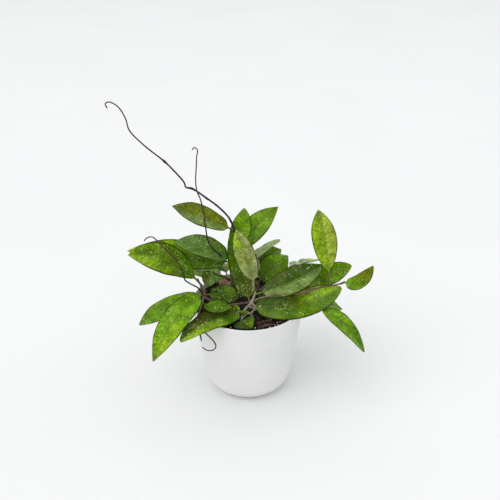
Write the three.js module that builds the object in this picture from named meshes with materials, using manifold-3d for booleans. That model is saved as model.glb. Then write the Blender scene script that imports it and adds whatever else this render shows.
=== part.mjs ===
// A hoya in a plain white tapered pot. Units are millimetres, +Z is up, +X is to the plant's right as
// it is usually seen, and +Y is to its back. The origin is the centre of the pot's underside.
//
// The plant is three vines rooted in the soil. Each vine is one body with its side branches and bare
// tendrils. Each leaf is a body of its own, a stalk and a thick blade, and it sits on its vine.

import * as THREE from 'three';
import { mergeVertices } from 'three/addons/utils/BufferGeometryUtils.js';
import Module from 'manifold-3d';

const wasm = await Module();
wasm.setup();

// ---- Driving dimensions ---------------------------------------------------------------------------

const GAP = 0.3;

// The corner between the foot and the wall is an arc of "cornerTurn" degrees. The rim stands "rimRound"
// above the wall's height, and the floor meets the wall inside over a slope "floorSlope" wide.
const POT = {
  height: 113,
  rimRadius: 65,
  rimRound: 0.5,
  wall: 2.2,
  footRadius: 30,
  cornerRadius: 21,
  cornerTurn: 86.4,
  cornerSteps: 5,
  wallSteps: 4,
  belly: 0.8,
  floor: 4,
  floorSlope: 3,
  drainHoles: 4,
  drainHoleRadius: 3.5,
  drainHoleSides: 10,
  drainHoleCircle: 18,
  segments: 34,
};

// The crumbs are loose lumps fused to the soil's surface, no nearer to the pot than "crumbMargin".
const SOIL = {
  level: 107,
  mound: 2.5,
  roughness: 0.9,
  crumbs: 13,
  crumbSize: 2.6,
  crumbMargin: 5,
  crumbSeed: 7,
  rings: 5,
};

// A run that starts thinner than "tendrilRadius" has fewer sides. A knot adds "knotSwell" of the run's
// first radius, fading over "knotReach".
const STEM = {
  sides: 6,
  tendrilSides: 5,
  tendrilRadius: 1.4,
  step: 6,
  tendrilStep: 5.5,
  knotReach: 3.2,
  knotSwell: 0.45,
};

// The blade's edge waves by "wave" of its width. "columns" is the number of strips across it.
const BLADE = {
  thicknessAtRib: 1.5,
  thicknessAtEdge: 0.75,
  wave: 0.05,
  stalkRadius: 1.15,
  tipRadius: 0.5,
  columns: 4,
};

// ---- Colours --------------------------------------------------------------------------------------

const COLOURS = {
  pot: { color: 0xeeeeea, roughness: 0.35 },
  soil: { color: 0x1d1713, roughness: 0.95 },
  bark: { color: 0x6e4536, roughness: 0.9 },
  stem: { color: 0x6f5f4c, roughness: 0.75 },
  bright: { color: 0x7ba012, roughness: 0.4 },
  green: { color: 0x55801f, roughness: 0.4 },
  dark: { color: 0x38570f, roughness: 0.38 },
  silver: { color: 0x7d9464, roughness: 0.45 },
  dry: { color: 0x8a6450, roughness: 0.85 },
};

// ---- The vines ------------------------------------------------------------------------------------
// Each run is a smooth line through its points, with its thickness at its start and at its end.
// A knot is a swollen joint where leaves and branches leave the vine.

const ROOT_DEPTH = 16;

const VINES = {
  vine_main: [
    {
      what: 'woody stem from the soil to the high leaf',
      radii: [1.6, 1.1],
      knots: [[4, -25, 126], [6, -15, 146], [12, -8, 162], [-14, 10, 198]],
      points: [
        [-8, -40, 107 - ROOT_DEPTH], [-8, -38, 107], [-5, -32, 117], [4, -25, 126], [8, -20, 135],
        [6, -16, 143], [8, -12, 151], [12, -8, 162], [9, -2, 172], [-1, 6, 183], [-14, 10, 198],
        [-21, 12, 213], [-32, 14, 225], [-54, 16, 242],
      ],
    },
    {
      what: 'long bare tendril from the high leaf to its hooked end',
      radii: [1.1, 0.7],
      knots: [[-62, 16, 247], [-90, 19, 277]],
      points: [
        [-44, 15, 234], [-54, 16, 242], [-62, 16, 247], [-68, 17, 248], [-70, 17, 254],
        [-78, 18, 264], [-90, 19, 277], [-112, 20, 296], [-126, 21, 312], [-129, 22, 324],
        [-136, 22, 337], [-145, 22, 342], [-149, 22, 340], [-147, 22, 335],
      ],
    },
    {
      what: 'low branch to the left knot',
      radii: [1.1, 1.5],
      knots: [[-50, -20, 131]],
      points: [
        [4, -25, 126], [-9, -27, 125], [-21, -28, 124], [-31, -27, 125], [-41, -24, 127],
        [-50, -20, 131], [-52, -19, 140], [-53, -19, 147],
      ],
    },
    {
      what: 'thin tendril rising left from the left knot to its bent end',
      radii: [0.95, 0.65],
      knots: [],
      points: [
        [-50, -20, 131], [-55, -27, 145], [-64, -36, 157], [-68, -41, 164], [-70, -45, 178],
        [-76, -47, 192], [-84, -47, 202], [-94, -45, 213], [-100, -43, 217], [-106, -42, 215],
        [-109, -41, 211],
      ],
    },
    {
      what: 'young stalk above the left knot',
      radii: [1.2, 0.8],
      knots: [],
      points: [[-50, -20, 131], [-48, -17, 141], [-45, -15, 151]],
    },
    {
      what: 'second young stalk above the left knot',
      radii: [1.1, 0.8],
      knots: [],
      points: [[-50, -20, 131], [-53, -14, 140], [-57, -12, 150]],
    },
    {
      what: 'thin tendril falling over the rim to a loop',
      radii: [1.2, 0.6],
      knots: [[-55, -57, 113]],
      points: [
        [-50, -20, 131], [-51, -27, 127], [-54, -37, 121], [-56, -48, 117], [-55, -57, 113],
        [-51, -61, 113], [-44, -64, 108], [-38, -66, 102], [-35, -66, 95], [-38, -64, 88],
        [-45, -62, 86], [-51, -61, 90],
      ],
    },
    {
      what: 'short bare stub under the left knot tendril',
      radii: [1.1, 0.7],
      knots: [],
      points: [[-55, -57, 113], [-52, -61, 105], [-51, -62, 98]],
    },
    {
      what: 'branch to the right knot',
      radii: [1.1, 0.9],
      knots: [[63, -25, 139], [106, -16, 145]],
      points: [
        [4, -25, 126], [12, -26, 131], [20, -27, 134], [30, -28, 137], [39, -28, 138],
        [52, -27, 138], [63, -25, 139], [77, -22, 142], [91, -19, 143], [106, -16, 145],
        [109, -15, 146],
      ],
    },
    {
      what: 'low branch under the broad right leaf',
      radii: [1.5, 1.3],
      knots: [[74, -22, 121]],
      points: [[1, -29, 122], [16, -31, 119], [34, -29, 118], [54, -25, 119], [76, -22, 121]],
    },
    {
      what: 'air root curling from the crown to the soil',
      radii: [0.9, 0.7],
      knots: [],
      points: [
        [4, -25, 126], [8, -30, 122], [4, -36, 119], [-3, -39, 117], [-8, -43, 112],
        [-6, -45, 107], [-5, -45, 101],
      ],
    },
    {
      what: 'second air root beside the crown',
      radii: [0.9, 0.7],
      knots: [],
      points: [
        [-5, -32, 117], [0, -35, 119], [5, -39, 116], [4, -43, 111], [1, -44, 107], [1, -44, 101],
      ],
    },
  ],
  vine_back: [
    {
      what: 'stem behind the dark leaf',
      radii: [2, 1.5],
      knots: [[-18, 6, 135], [-21, 11, 161]],
      points: [
        [-14, 9, 107 - ROOT_DEPTH], [-14, 8, 107], [-17, 6, 121], [-18, 6, 135], [-20, 8, 149],
        [-21, 11, 161], [-22, 12, 167],
      ],
    },
    {
      what: 'thin tendril from the upper knot to a hooked end',
      radii: [1, 0.65],
      knots: [],
      points: [
        [-21, 11, 161], [-28, 3, 168], [-33, -10, 180], [-38, -19, 190], [-43, -23, 203],
        [-45, -24, 219], [-47, -22, 237], [-50, -18, 249], [-54, -11, 256], [-55, -8, 266],
        [-54, -6, 280], [-53, -6, 293], [-52, -6, 299], [-55, -6, 302], [-58, -6, 299],
      ],
    },
  ],
  vine_rear: [
    {
      what: 'stem behind the middle of the plant',
      radii: [2, 1.5],
      knots: [[10, 12, 128], [4, 18, 140]],
      points: [
        [14, 12, 107 - ROOT_DEPTH], [14, 11, 107], [13, 11, 118], [10, 12, 128], [4, 18, 140],
        [-1, 22, 148], [-3, 24, 152],
      ],
    },
    {
      what: 'low branch to the back right',
      radii: [1.6, 1.5],
      knots: [[50, 50, 124]],
      points: [[13, 11, 118], [24, 24, 121], [38, 38, 123], [50, 50, 124], [55, 54, 125]],
    },
    {
      what: 'low branch to the back left',
      radii: [1.6, 1.5],
      knots: [[-24, 46, 117]],
      points: [[13, 11, 118], [4, 24, 118], [-9, 36, 116], [-24, 46, 117], [-29, 49, 118]],
    },
  ],
};

// ---- The leaves -----------------------------------------------------------------------------------
// base lies on the vine and tip is the blade's point. face is the way the blade's upper side looks.
// bow lifts the middle of the rib towards that side, sway moves it to the blade's right, and fold is
// how far each half is turned up along the rib, in degrees. shape is where along it the blade is
// widest, and how full its ends are.

const LEAVES = [
  { name: 'leaf_high_left', vine: 'vine_main', tone: 'dark', width: 28, stalk: 8,
    base: [-14, 10, 198], tip: [-82, -5, 235], face: [0, -4, 6],
    bow: -3, sway: 2.8, fold: 14, shape: [0.45, 1.05] },
  { name: 'leaf_top_middle', vine: 'vine_back', tone: 'green', width: 24, stalk: 10,
    base: [-22, 12, 167], tip: [-4, 28, 218], face: [-1, -6, 2],
    bow: -1, sway: 4, fold: 12, shape: [0.45, 1.15] },
  { name: 'leaf_top_right', vine: 'vine_back', tone: 'green', width: 28, stalk: 12,
    base: [-21, 11, 160], tip: [35, 42, 213], face: [0, -6, 2],
    bow: -2, sway: -4, fold: 12, shape: [0.47, 1] },
  { name: 'leaf_pale_upright', vine: 'vine_main', tone: 'silver', width: 25, stalk: 2,
    base: [6, -16, 147], tip: [-12, -24, 216], face: [-1, -6, 1],
    bow: 0, sway: 1, fold: 14, shape: [0.49, 1.25] },
  { name: 'leaf_dark_upright', vine: 'vine_main', tone: 'dark', width: 30, stalk: 4,
    base: [2, -26, 126], tip: [-18, 13, 199], face: [-1, -6, 2],
    bow: -5, sway: 0, fold: 10, shape: [0.43, 1.2] },
  { name: 'leaf_left_front', vine: 'vine_main', tone: 'bright', width: 36, stalk: 8,
    base: [-53, -20, 146], tip: [-130, -27, 187], face: [0, -4, 6],
    bow: 8, sway: 8, fold: 12, shape: [0.55, 1.1] },
  { name: 'leaf_left_long', vine: 'vine_back', tone: 'bright', width: 35, stalk: 3,
    base: [-21, 10, 158], tip: [-135, -4, 180], face: [0, -5, 6],
    bow: 5, sway: 0, fold: 10, shape: [0.45, 1.1] },
  { name: 'leaf_left_grey', vine: 'vine_back', tone: 'silver', width: 28, stalk: 3,
    base: [-21, 11, 163], tip: [-80, -14, 196], face: [0, -5, 6],
    bow: 8, sway: 0, fold: 12, shape: [0.45, 1.25] },
  { name: 'leaf_left_inner', vine: 'vine_back', tone: 'silver', width: 20, stalk: 16,
    base: [-18, 6, 135.3], tip: [-58, 2.5, 150], face: [1, 4, 8],
    bow: 2, sway: 0, fold: 14, shape: [0.47, 1] },
  { name: 'leaf_inner_upright', vine: 'vine_main', tone: 'dark', width: 18, stalk: 2,
    base: [-46, -16, 140], tip: [-41, -13.5, 160], face: [-3, -6, 2],
    bow: 1, sway: 0, fold: 12, shape: [0.5, 1.1] },
  { name: 'leaf_left_arched', vine: 'vine_main', tone: 'green', width: 27, stalk: 3,
    base: [-51, -19, 133], tip: [-122, -39, 104], face: [-1, -3, 6],
    bow: -4, sway: 6.5, fold: 12, shape: [0.53, 1] },
  { name: 'leaf_left_drooping', vine: 'vine_main', tone: 'bright', width: 33, stalk: 3,
    base: [-51, -21, 134], tip: [-103, -77, 82], face: [-2, -5, 4],
    bow: 15.5, sway: 1, fold: 12, shape: [0.44, 0.9] },
  { name: 'leaf_small_inner', vine: 'vine_main', tone: 'dark', width: 24, stalk: 5,
    base: [-49, -18, 131], tip: [-10, -15, 127], face: [0, -4, 5],
    bow: 4, sway: 0, fold: 12, shape: [0.5, 1.2] },
  { name: 'leaf_small_bright', vine: 'vine_main', tone: 'bright', width: 19, stalk: 4,
    base: [-51, -28, 126], tip: [-17, -41, 129], face: [0, -2, 6],
    bow: 1, sway: 4, fold: 12, shape: [0.43, 1.05] },
  { name: 'leaf_over_rim', vine: 'vine_main', tone: 'dark', width: 32, stalk: 3,
    base: [-5, -33, 117.5], tip: [-72, -82, 112], face: [0, -1.5, 6],
    bow: 1, sway: 6, fold: 12, shape: [0.41, 1.15] },
  { name: 'leaf_at_rim', vine: 'vine_main', tone: 'green', width: 28, stalk: 4,
    base: [-9, -39, 111], tip: [5, -56, 112], face: [0, -1, 6],
    bow: 2, sway: 2, fold: 8, shape: [0.46, 1.2] },
  { name: 'leaf_inner_dark', vine: 'vine_main', tone: 'dark', width: 15, stalk: 3,
    base: [-6, -30, 116], tip: [-30, -19, 116], face: [0, -2, 6],
    bow: 1, sway: 0, fold: 12, shape: [0.47, 1] },
  { name: 'leaf_grey_narrow', vine: 'vine_rear', tone: 'silver', width: 23, stalk: 8,
    base: [-1, 22, 148], tip: [38, 44, 169], face: [3, 3, 8],
    bow: 1, sway: 0, fold: 16, shape: [0.47, 1] },
  { name: 'leaf_rear_dark', vine: 'vine_rear', tone: 'dark', width: 25, stalk: 8,
    base: [2, 20, 144], tip: [40, 54, 152], face: [-1, -3, 6],
    bow: 3, sway: 0, fold: 12, shape: [0.47, 1] },
  { name: 'leaf_rear_bright', vine: 'vine_rear', tone: 'green', width: 33, stalk: 6,
    base: [10, 12, 128], tip: [47, 30, 156], face: [0, -5, 5],
    bow: 2, sway: 0, fold: 14, shape: [0.47, 1] },
  { name: 'leaf_back_thin', vine: 'vine_rear', tone: 'silver', width: 24, stalk: 8,
    base: [38, 38, 123], tip: [66, 50, 134], face: [0, 4, 8],
    bow: 3, sway: 0, fold: 10, shape: [0.47, 1] },
  { name: 'leaf_back_far', vine: 'vine_rear', tone: 'silver', width: 26, stalk: 8,
    base: [54, 54, 125], tip: [91, 84, 122], face: [0, 4, 8],
    bow: 1, sway: 0, fold: 10, shape: [0.47, 1] },
  { name: 'leaf_right_upright', vine: 'vine_main', tone: 'bright', width: 28, stalk: 18,
    base: [92, -19, 144], tip: [76, -6, 231], face: [0, -6, 1],
    bow: 0, sway: 2, fold: 14, shape: [0.54, 1.15] },
  { name: 'leaf_right_behind', vine: 'vine_main', tone: 'dark', width: 24, stalk: 9,
    base: [70, -22, 143.5], tip: [120, 12, 152], face: [0, -6, 3],
    bow: -6.5, sway: -2, fold: 12, shape: [0.5, 1.3] },
  { name: 'leaf_right_curled', vine: 'vine_main', tone: 'bright', width: 18, stalk: 2,
    base: [108, -15, 146], tip: [137, -28, 174], face: [-3, -5, 5],
    bow: 0, sway: 9, fold: 16, shape: [0.47, 1.3] },
  { name: 'leaf_right_silver', vine: 'vine_main', tone: 'silver', width: 31, stalk: 8,
    base: [7, -21, 133], tip: [86, -1, 161], face: [0, -5, 5],
    bow: 3, sway: 4, fold: 12, shape: [0.47, 1] },
  { name: 'leaf_right_inner', vine: 'vine_main', tone: 'dark', width: 18, stalk: 6,
    base: [4, -24, 123], tip: [62, -9, 124], face: [0, -3, 6],
    bow: 0, sway: -4, fold: 12, shape: [0.47, 1] },
  { name: 'leaf_right_broad', vine: 'vine_main', tone: 'green', width: 36, stalk: 4,
    base: [3, -27, 123], tip: [106, -14, 138], face: [0, -5, 5],
    bow: 0, sway: 9, fold: 10, shape: [0.46, 1.35] },
  { name: 'leaf_right_drooping', vine: 'vine_main', tone: 'bright', width: 22, stalk: 8,
    base: [75, -22, 121], tip: [132, -46, 72], face: [3, -4, 6],
    bow: 11, sway: 0, fold: 12, shape: [0.47, 1] },
  { name: 'leaf_right_hidden', vine: 'vine_main', tone: 'green', width: 20, stalk: 6,
    base: [71, -21, 121], tip: [111, 0, 101], face: [2, -2, 6],
    bow: 2, sway: 0, fold: 12, shape: [0.47, 1] },
  { name: 'leaf_right_rear', vine: 'vine_rear', tone: 'dark', width: 31, stalk: 9,
    base: [25, 25, 122], tip: [97, 9, 136], face: [0, -3, 6],
    bow: 1, sway: 0, fold: 12, shape: [0.47, 1] },
  { name: 'leaf_back_left', vine: 'vine_rear', tone: 'green', width: 33, stalk: 8,
    base: [-25, 46, 117], tip: [-93, 70, 109], face: [0, 2, 8],
    bow: 5, sway: 0, fold: 12, shape: [0.47, 1] },
  { name: 'leaf_back_low', vine: 'vine_rear', tone: 'dark', width: 32, stalk: 8,
    base: [-25, 48, 117], tip: [-46, 118, 84], face: [0, 4, 6],
    bow: 12, sway: 0, fold: 12, shape: [0.47, 1] },
  { name: 'leaf_back_middle', vine: 'vine_rear', tone: 'bright', width: 34, stalk: 9,
    base: [4, 24, 120], tip: [14, 106, 92], face: [0, 4, 6],
    bow: 16, sway: 0, fold: 12, shape: [0.47, 1] },
  { name: 'leaf_back_right', vine: 'vine_rear', tone: 'green', width: 31, stalk: 9,
    base: [51, 50, 123], tip: [84, 110, 84], face: [2, 4, 6],
    bow: 10, sway: 0, fold: 12, shape: [0.47, 1] },
  { name: 'leaf_back_upright', vine: 'vine_rear', tone: 'green', width: 30, stalk: 8,
    base: [-3, 24, 151], tip: [-12, 64, 186], face: [0, 5, 4],
    bow: 4, sway: 0, fold: 12, shape: [0.47, 1] },
  { name: 'leaf_back_shoulder', vine: 'vine_back', tone: 'dark', width: 28, stalk: 9,
    base: [-18, 7, 128], tip: [-84, 60, 128], face: [-1, 2, 8],
    bow: 3, sway: -8, fold: 12, shape: [0.47, 1] },
];

// ---- Small pieces on the soil ---------------------------------------------------------------------

const DRY_LEAF = {
  name: 'dry_leaf', vine: 'vine_back', tone: 'dry', width: 11, stalk: 4,
  base: [-18, 6, 134], tip: [-34, -4, 133], face: [0, -4, 5], bow: 2, sway: 0, fold: 20,
  shape: [0.5, 1],
};

const YOUNG_SHOOT = {
  name: 'young_shoot', vine: 'vine_main', tone: 'bright', width: 8, stalk: 4,
  base: [-6, -34, 115], tip: [-1, -40, 124], face: [0, -6, 2], bow: 1, sway: 0, fold: 20,
  shape: [0.5, 1],
};

// Strips of bark lying on the soil, each curled across its length. "turn" is its heading in degrees, and
// "rest" is how far it lies above the soil's even surface, or in a hollow of it.
const BARK = [
  { name: 'bark_curl', at: [20, -48.5], turn: 23, length: 17,
    radius: 4.6, sweep: 200, thick: 1.3, rest: -0.8 },
  { name: 'bark_chip_front', at: [39, -36], turn: -50, length: 11,
    radius: 9, sweep: 60, thick: 1.5, rest: 0.3 },
  { name: 'bark_chip_back', at: [-8, 40], turn: 75, length: 14,
    radius: 10, sweep: 62, thick: 1.6, rest: 0.3 },
];

// ---- Helpers --------------------------------------------------------------------------------------

const vec = (p) => new THREE.Vector3(p[0], p[1], p[2]);

// The same numbers every time, from one seed.
function seededRandom(seed) {
  let state = seed;
  return () => {
    state = (state * 1664525 + 1013904223) % 4294967296;
    return state / 4294967296;
  };
}

// The triangles that close the end of a skin, as places in its loop: a strip between the two rows of a
// loop that has rows, as a blade has, or else a fan.
function endTriangles(count, hasRows) {
  const triangles = [];
  if (hasRows) {
    for (let k = 0; k + 1 < count / 2; k++) {
      triangles.push([k, k + 1, count - 2 - k], [k, count - 2 - k, count - 1 - k]);
    }
  } else {
    for (let k = 1; k + 1 < count; k++) triangles.push([0, k, k + 1]);
  }
  return triangles;
}

// Closes a line of equal loops of points into one skin. A loop with two rows has an upper row and then
// a lower row the other way, and its quads are split alike on both, so that a blade's two faces match.
function skin(loops, hasRows = false) {
  const count = loops[0].length;
  const positions = loops.flat().flatMap((p) => [p.x, p.y, p.z]);
  const index = [];
  const at = (ring, k) => ring * count + (k % count);
  for (let ring = 0; ring + 1 < loops.length; ring++) {
    for (let k = 0; k < count; k++) {
      const [a, b] = [at(ring, k), at(ring, k + 1)];
      const [c, d] = [at(ring + 1, k + 1), at(ring + 1, k)];
      if (hasRows && k >= count / 2) index.push(a, b, d, b, c, d);
      else index.push(a, b, c, a, c, d);
    }
  }
  const last = loops.length - 1;
  for (const [i, j, k] of endTriangles(count, hasRows)) {
    index.push(at(0, i), at(0, k), at(0, j));
    index.push(at(last, i), at(last, j), at(last, k));
  }
  const geometry = new THREE.BufferGeometry();
  geometry.setAttribute('position', new THREE.Float32BufferAttribute(positions, 3));
  geometry.setIndex(index);
  return geometry;
}

function toSolid(geometry) {
  const bare = geometry.clone();
  bare.deleteAttribute('normal');
  bare.deleteAttribute('uv');
  const merged = mergeVertices(bare, 1e-4);
  return new wasm.Manifold(new wasm.Mesh({
    numProp: 3,
    vertProperties: new Float32Array(merged.attributes.position.array),
    triVerts: new Uint32Array(merged.index.array),
  }));
}

function toGeometry(solid) {
  const mesh = solid.getMesh();
  const geometry = new THREE.BufferGeometry();
  geometry.setAttribute('position', new THREE.Float32BufferAttribute(mesh.vertProperties, 3));
  geometry.setIndex(new THREE.Uint32BufferAttribute(mesh.triVerts, 1));
  return geometry;
}

function union(solids) {
  return solids.reduce((whole, next) => whole.add(next));
}

// The largest of a cut solid's pieces, so that no loose scrap is left.
function mainBody(solid) {
  const bodies = solid.decompose();
  return bodies.reduce((best, body) => (body.volume() > best.volume() ? body : best));
}

function piece(name, geometry, tone) {
  const look = COLOURS[tone];
  const material = new THREE.MeshStandardMaterial({ metalness: 0, ...look });
  const mesh = new THREE.Mesh(geometry, material);
  mesh.name = name;
  return mesh;
}

// ---- Pot ------------------------------------------------------------------------------------------

// Half of the pot's outline, from the middle of the underside up the outside to the rim. The corner is
// an arc, and the wall above it has a slight belly.
function potOutline(inset) {
  const { height, rimRadius, footRadius, cornerRadius, cornerSteps, wallSteps, belly } = POT;
  const turn = THREE.MathUtils.degToRad(POT.cornerTurn);
  const wallFoot = footRadius + cornerRadius * Math.sin(turn);
  const wallStart = cornerRadius * (1 - Math.cos(turn));
  const points = [];
  for (let i = 0; i <= cornerSteps; i++) {
    const angle = turn * i / cornerSteps;
    const x = footRadius + cornerRadius * Math.sin(angle);
    const z = cornerRadius * (1 - Math.cos(angle));
    points.push(new THREE.Vector2(x - inset * Math.sin(angle), z + inset * Math.cos(angle)));
  }
  for (let i = 1; i <= wallSteps; i++) {
    const t = i / wallSteps;
    const x = THREE.MathUtils.lerp(wallFoot, rimRadius, t) + belly * Math.sin(Math.PI * t);
    points.push(new THREE.Vector2(x - inset, THREE.MathUtils.lerp(wallStart, height, t)));
  }
  return points;
}

function makePot() {
  const { height, rimRadius, rimRound, wall, floor, drainHoleRadius, drainHoleCircle } = POT;
  const outside = potOutline(0);
  const inside = potOutline(wall).filter((p) => p.y > floor && p.y < height).reverse();
  const rimTop = [
    new THREE.Vector2(rimRadius - rimRound, height + rimRound),
    new THREE.Vector2(rimRadius - wall + rimRound, height + rimRound),
    new THREE.Vector2(rimRadius - wall, height),
  ];
  const innerCorner = inside[inside.length - 1];
  const innerFloor = [
    new THREE.Vector2(innerCorner.x - POT.floorSlope, floor),
    new THREE.Vector2(0, floor),
  ];
  const profile = [new THREE.Vector2(0, 0), ...outside, ...rimTop, ...inside, ...innerFloor];
  let body = toSolid(uprightLathe(profile, POT.segments));
  for (let i = 0; i < POT.drainHoles; i++) {
    const angle = (i + 0.5) * 2 * Math.PI / POT.drainHoles;
    const drill = new THREE.CylinderGeometry(
      drainHoleRadius, drainHoleRadius, floor * 3, POT.drainHoleSides);
    drill.rotateX(Math.PI / 2);
    drill.translate(drainHoleCircle * Math.cos(angle), drainHoleCircle * Math.sin(angle), 0);
    body = body.subtract(toSolid(drill));
  }
  return piece('pot', toGeometry(body), 'pot');
}

// A lathe turned about Z, with its profile given as (radius, height).
function uprightLathe(profile, segments) {
  return new THREE.LatheGeometry(profile, segments).rotateX(Math.PI / 2);
}

// ---- Soil -----------------------------------------------------------------------------------------

// The height of the soil's loose surface above its level.
function soilRelief(x, y) {
  const radius = Math.hypot(x, y) / POT.rimRadius;
  const mound = SOIL.mound * (1 - radius * radius);
  const lumps = Math.sin(x * 0.31 + 1.3) * Math.cos(y * 0.27) + 0.6 * Math.sin(x * 0.71 - y * 0.53);
  return mound + SOIL.roughness * lumps;
}

// The soil inside the pot, flat on the floor and loosely mounded on top, with its top in rings.
function soilSolid(topRadius, edge) {
  const bottom = POT.floor + GAP;
  const profile = [
    new THREE.Vector2(0, bottom),
    new THREE.Vector2(edge[0].x - POT.floorSlope, bottom),
    ...edge,
  ];
  for (let ring = SOIL.rings; ring >= 0; ring--) {
    profile.push(new THREE.Vector2(topRadius * ring / SOIL.rings, SOIL.level));
  }
  const geometry = uprightLathe(profile, POT.segments);
  const place = geometry.attributes.position;
  for (let i = 0; i < place.count; i++) {
    const [x, y, z] = [place.getX(i), place.getY(i), place.getZ(i)];
    if (z > SOIL.level - 0.01) place.setZ(i, z + soilRelief(x, y));
  }
  return toSolid(geometry);
}

// One crumb, a lump of random size, flattened a little and turned, sunk halfway into the surface.
function crumbSolid(random, reach) {
  const away = reach * Math.sqrt(random());
  const angle = 2 * Math.PI * random();
  const [x, y] = [away * Math.cos(angle), away * Math.sin(angle)];
  const size = SOIL.crumbSize * (0.6 + 0.7 * random());
  const crumb = new THREE.IcosahedronGeometry(size, 0);
  crumb.scale(1, 0.75 + 0.3 * random(), 0.7).rotateZ(2 * Math.PI * random());
  crumb.translate(x, y, SOIL.level + soilRelief(x, y) + size * 0.1);
  return toSolid(crumb);
}

function makeSoil(clearance) {
  const wallInside = potOutline(POT.wall + GAP);
  const edge = wallInside.filter((p) => p.y > POT.floor + GAP && p.y < SOIL.level);
  const last = edge[edge.length - 1];
  const rim = wallInside[wallInside.length - 1];
  const share = (SOIL.level - last.y) / (rim.y - last.y);
  const topRadius = THREE.MathUtils.lerp(last.x, rim.x, share);
  const random = seededRandom(SOIL.crumbSeed);
  const lumps = [soilSolid(topRadius, edge)];
  for (let i = 0; i < SOIL.crumbs; i++) {
    lumps.push(crumbSolid(random, topRadius - SOIL.crumbMargin));
  }
  const body = Object.values(clearance).reduce((soil, hole) => soil.subtract(hole), union(lumps));
  return piece('soil', toGeometry(mainBody(body)), 'soil');
}

// ---- Bark -----------------------------------------------------------------------------------------

// A curled strip: an arc of bark carried along its length, open towards the sky and ragged at its ends.
function barkSolid(bark) {
  const steps = 6;
  const slices = 4;
  const half = THREE.MathUtils.degToRad(bark.sweep) / 2;
  const loops = [];
  for (let slice = 0; slice <= slices; slice++) {
    const along = (slice / slices - 0.5) * bark.length;
    const sway = 0.35 * Math.sin(slice * 1.7 + bark.length);
    const outer = [];
    const inner = [];
    for (let k = 0; k <= steps; k++) {
      const angle = THREE.MathUtils.lerp(-half, half, k / steps);
      const ragged = 1 + 0.04 * Math.sin(5 * angle + slice);
      const end = along * (1 + 0.08 * Math.sin(9 * angle));
      const place = (radius) => new THREE.Vector3(
        end, radius * ragged * Math.sin(angle) + sway, -radius * ragged * Math.cos(angle));
      outer.push(place(bark.radius));
      inner.push(place(bark.radius - bark.thick));
    }
    loops.push([...outer, ...inner.reverse()]);
  }
  return toSolid(skin(loops, true));
}

// Bark is set by the highest point of the soil's even surface under it.
function makeBark(bark) {
  const heading = new THREE.Vector2(1, 0).rotateAround(new THREE.Vector2(), bark.turn * Math.PI / 180);
  let ground = -Infinity;
  for (const share of [-0.5, -0.25, 0, 0.25, 0.5]) {
    const x = bark.at[0] + heading.x * share * bark.length;
    const y = bark.at[1] + heading.y * share * bark.length;
    ground = Math.max(ground, SOIL.level + soilRelief(x, y));
  }
  const height = ground + bark.radius + bark.rest;
  const body = barkSolid(bark).rotate([0, 0, bark.turn]).translate([bark.at[0], bark.at[1], height]);
  return piece(bark.name, toGeometry(body), 'bark');
}

// ---- Vines ----------------------------------------------------------------------------------------

// A round, tapering stem along a smooth line, swollen at its knots. "grow" makes it thicker all over.
function runSolid(run, grow = 0) {
  const curve = new THREE.CatmullRomCurve3(run.points.map(vec), false, 'centripetal');
  const thin = run.radii[0] < STEM.tendrilRadius;
  const sides = thin ? STEM.tendrilSides : STEM.sides;
  const steps = Math.ceil(curve.getLength() / (thin ? STEM.tendrilStep : STEM.step));
  const loops = [];
  let side = new THREE.Vector3(0.3, 0.8, 0.5);
  for (let i = 0; i <= steps; i++) {
    const t = i / steps;
    const centre = curve.getPointAt(t);
    const along = curve.getTangentAt(t);
    side = side.addScaledVector(along, -side.dot(along)).normalize();
    const other = new THREE.Vector3().crossVectors(along, side);
    let radius = THREE.MathUtils.lerp(run.radii[0], run.radii[1], t) + grow;
    for (const knot of run.knots) {
      const away = centre.distanceTo(vec(knot)) / STEM.knotReach;
      radius += run.radii[0] * STEM.knotSwell * Math.exp(-away * away);
    }
    const loop = [];
    for (let k = 0; k < sides; k++) {
      const angle = 2 * Math.PI * k / sides;
      loop.push(centre.clone()
        .addScaledVector(side, radius * Math.cos(angle))
        .addScaledVector(other, radius * Math.sin(angle)));
    }
    loops.push(loop);
  }
  return toSolid(skin(loops));
}

function makeVine(name) {
  return piece(name, toGeometry(union(VINES[name].map((run) => runSolid(run)))), 'stem');
}

// ---- Leaves ---------------------------------------------------------------------------------------

// Half the blade's width along it, as shares of its length and of half its greatest width, for a blade
// that is widest halfway along.
const OUTLINE = [[0, 0.1], [0.04, 0.27], [0.13, 0.58], [0.28, 0.86], [0.5, 1], [0.66, 0.91],
  [0.79, 0.69], [0.89, 0.42], [0.96, 0.18], [1, 0.03]];

// The blade's outline, with its widest place at "peak", and fuller ends the larger "full" is.
function bladeOutline(leaf) {
  const [peak, full] = leaf.shape;
  const power = Math.log(peak) / Math.log(0.5);
  return OUTLINE.map(([share, width]) => [share ** power, width ** (1 / full)]);
}

function bladeLoop(leaf, frame, share, halfWidth) {
  const { columns, thicknessAtRib, thicknessAtEdge } = BLADE;
  const fold = THREE.MathUtils.degToRad(leaf.fold);
  const upper = [];
  const lower = [];
  for (let column = 0; column <= columns; column++) {
    const v = 2 * column / columns - 1;
    const out = v * halfWidth * Math.cos(fold);
    const ripple = Math.sin(7 * share + leaf.width) * Math.abs(v) * v;
    const wave = BLADE.wave * leaf.width * ripple;
    const lift = Math.abs(v) * halfWidth * Math.sin(fold) * (1.3 - 0.3 * Math.abs(v)) + wave;
    const thickness = THREE.MathUtils.lerp(thicknessAtRib, thicknessAtEdge, Math.abs(v));
    const place = (offset) => frame.centre.clone()
      .addScaledVector(frame.across, out)
      .addScaledVector(frame.up, lift + offset);
    upper.push(place(thickness / 2));
    lower.push(place(-thickness / 2));
  }
  return [...upper, ...lower.reverse()];
}

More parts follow.
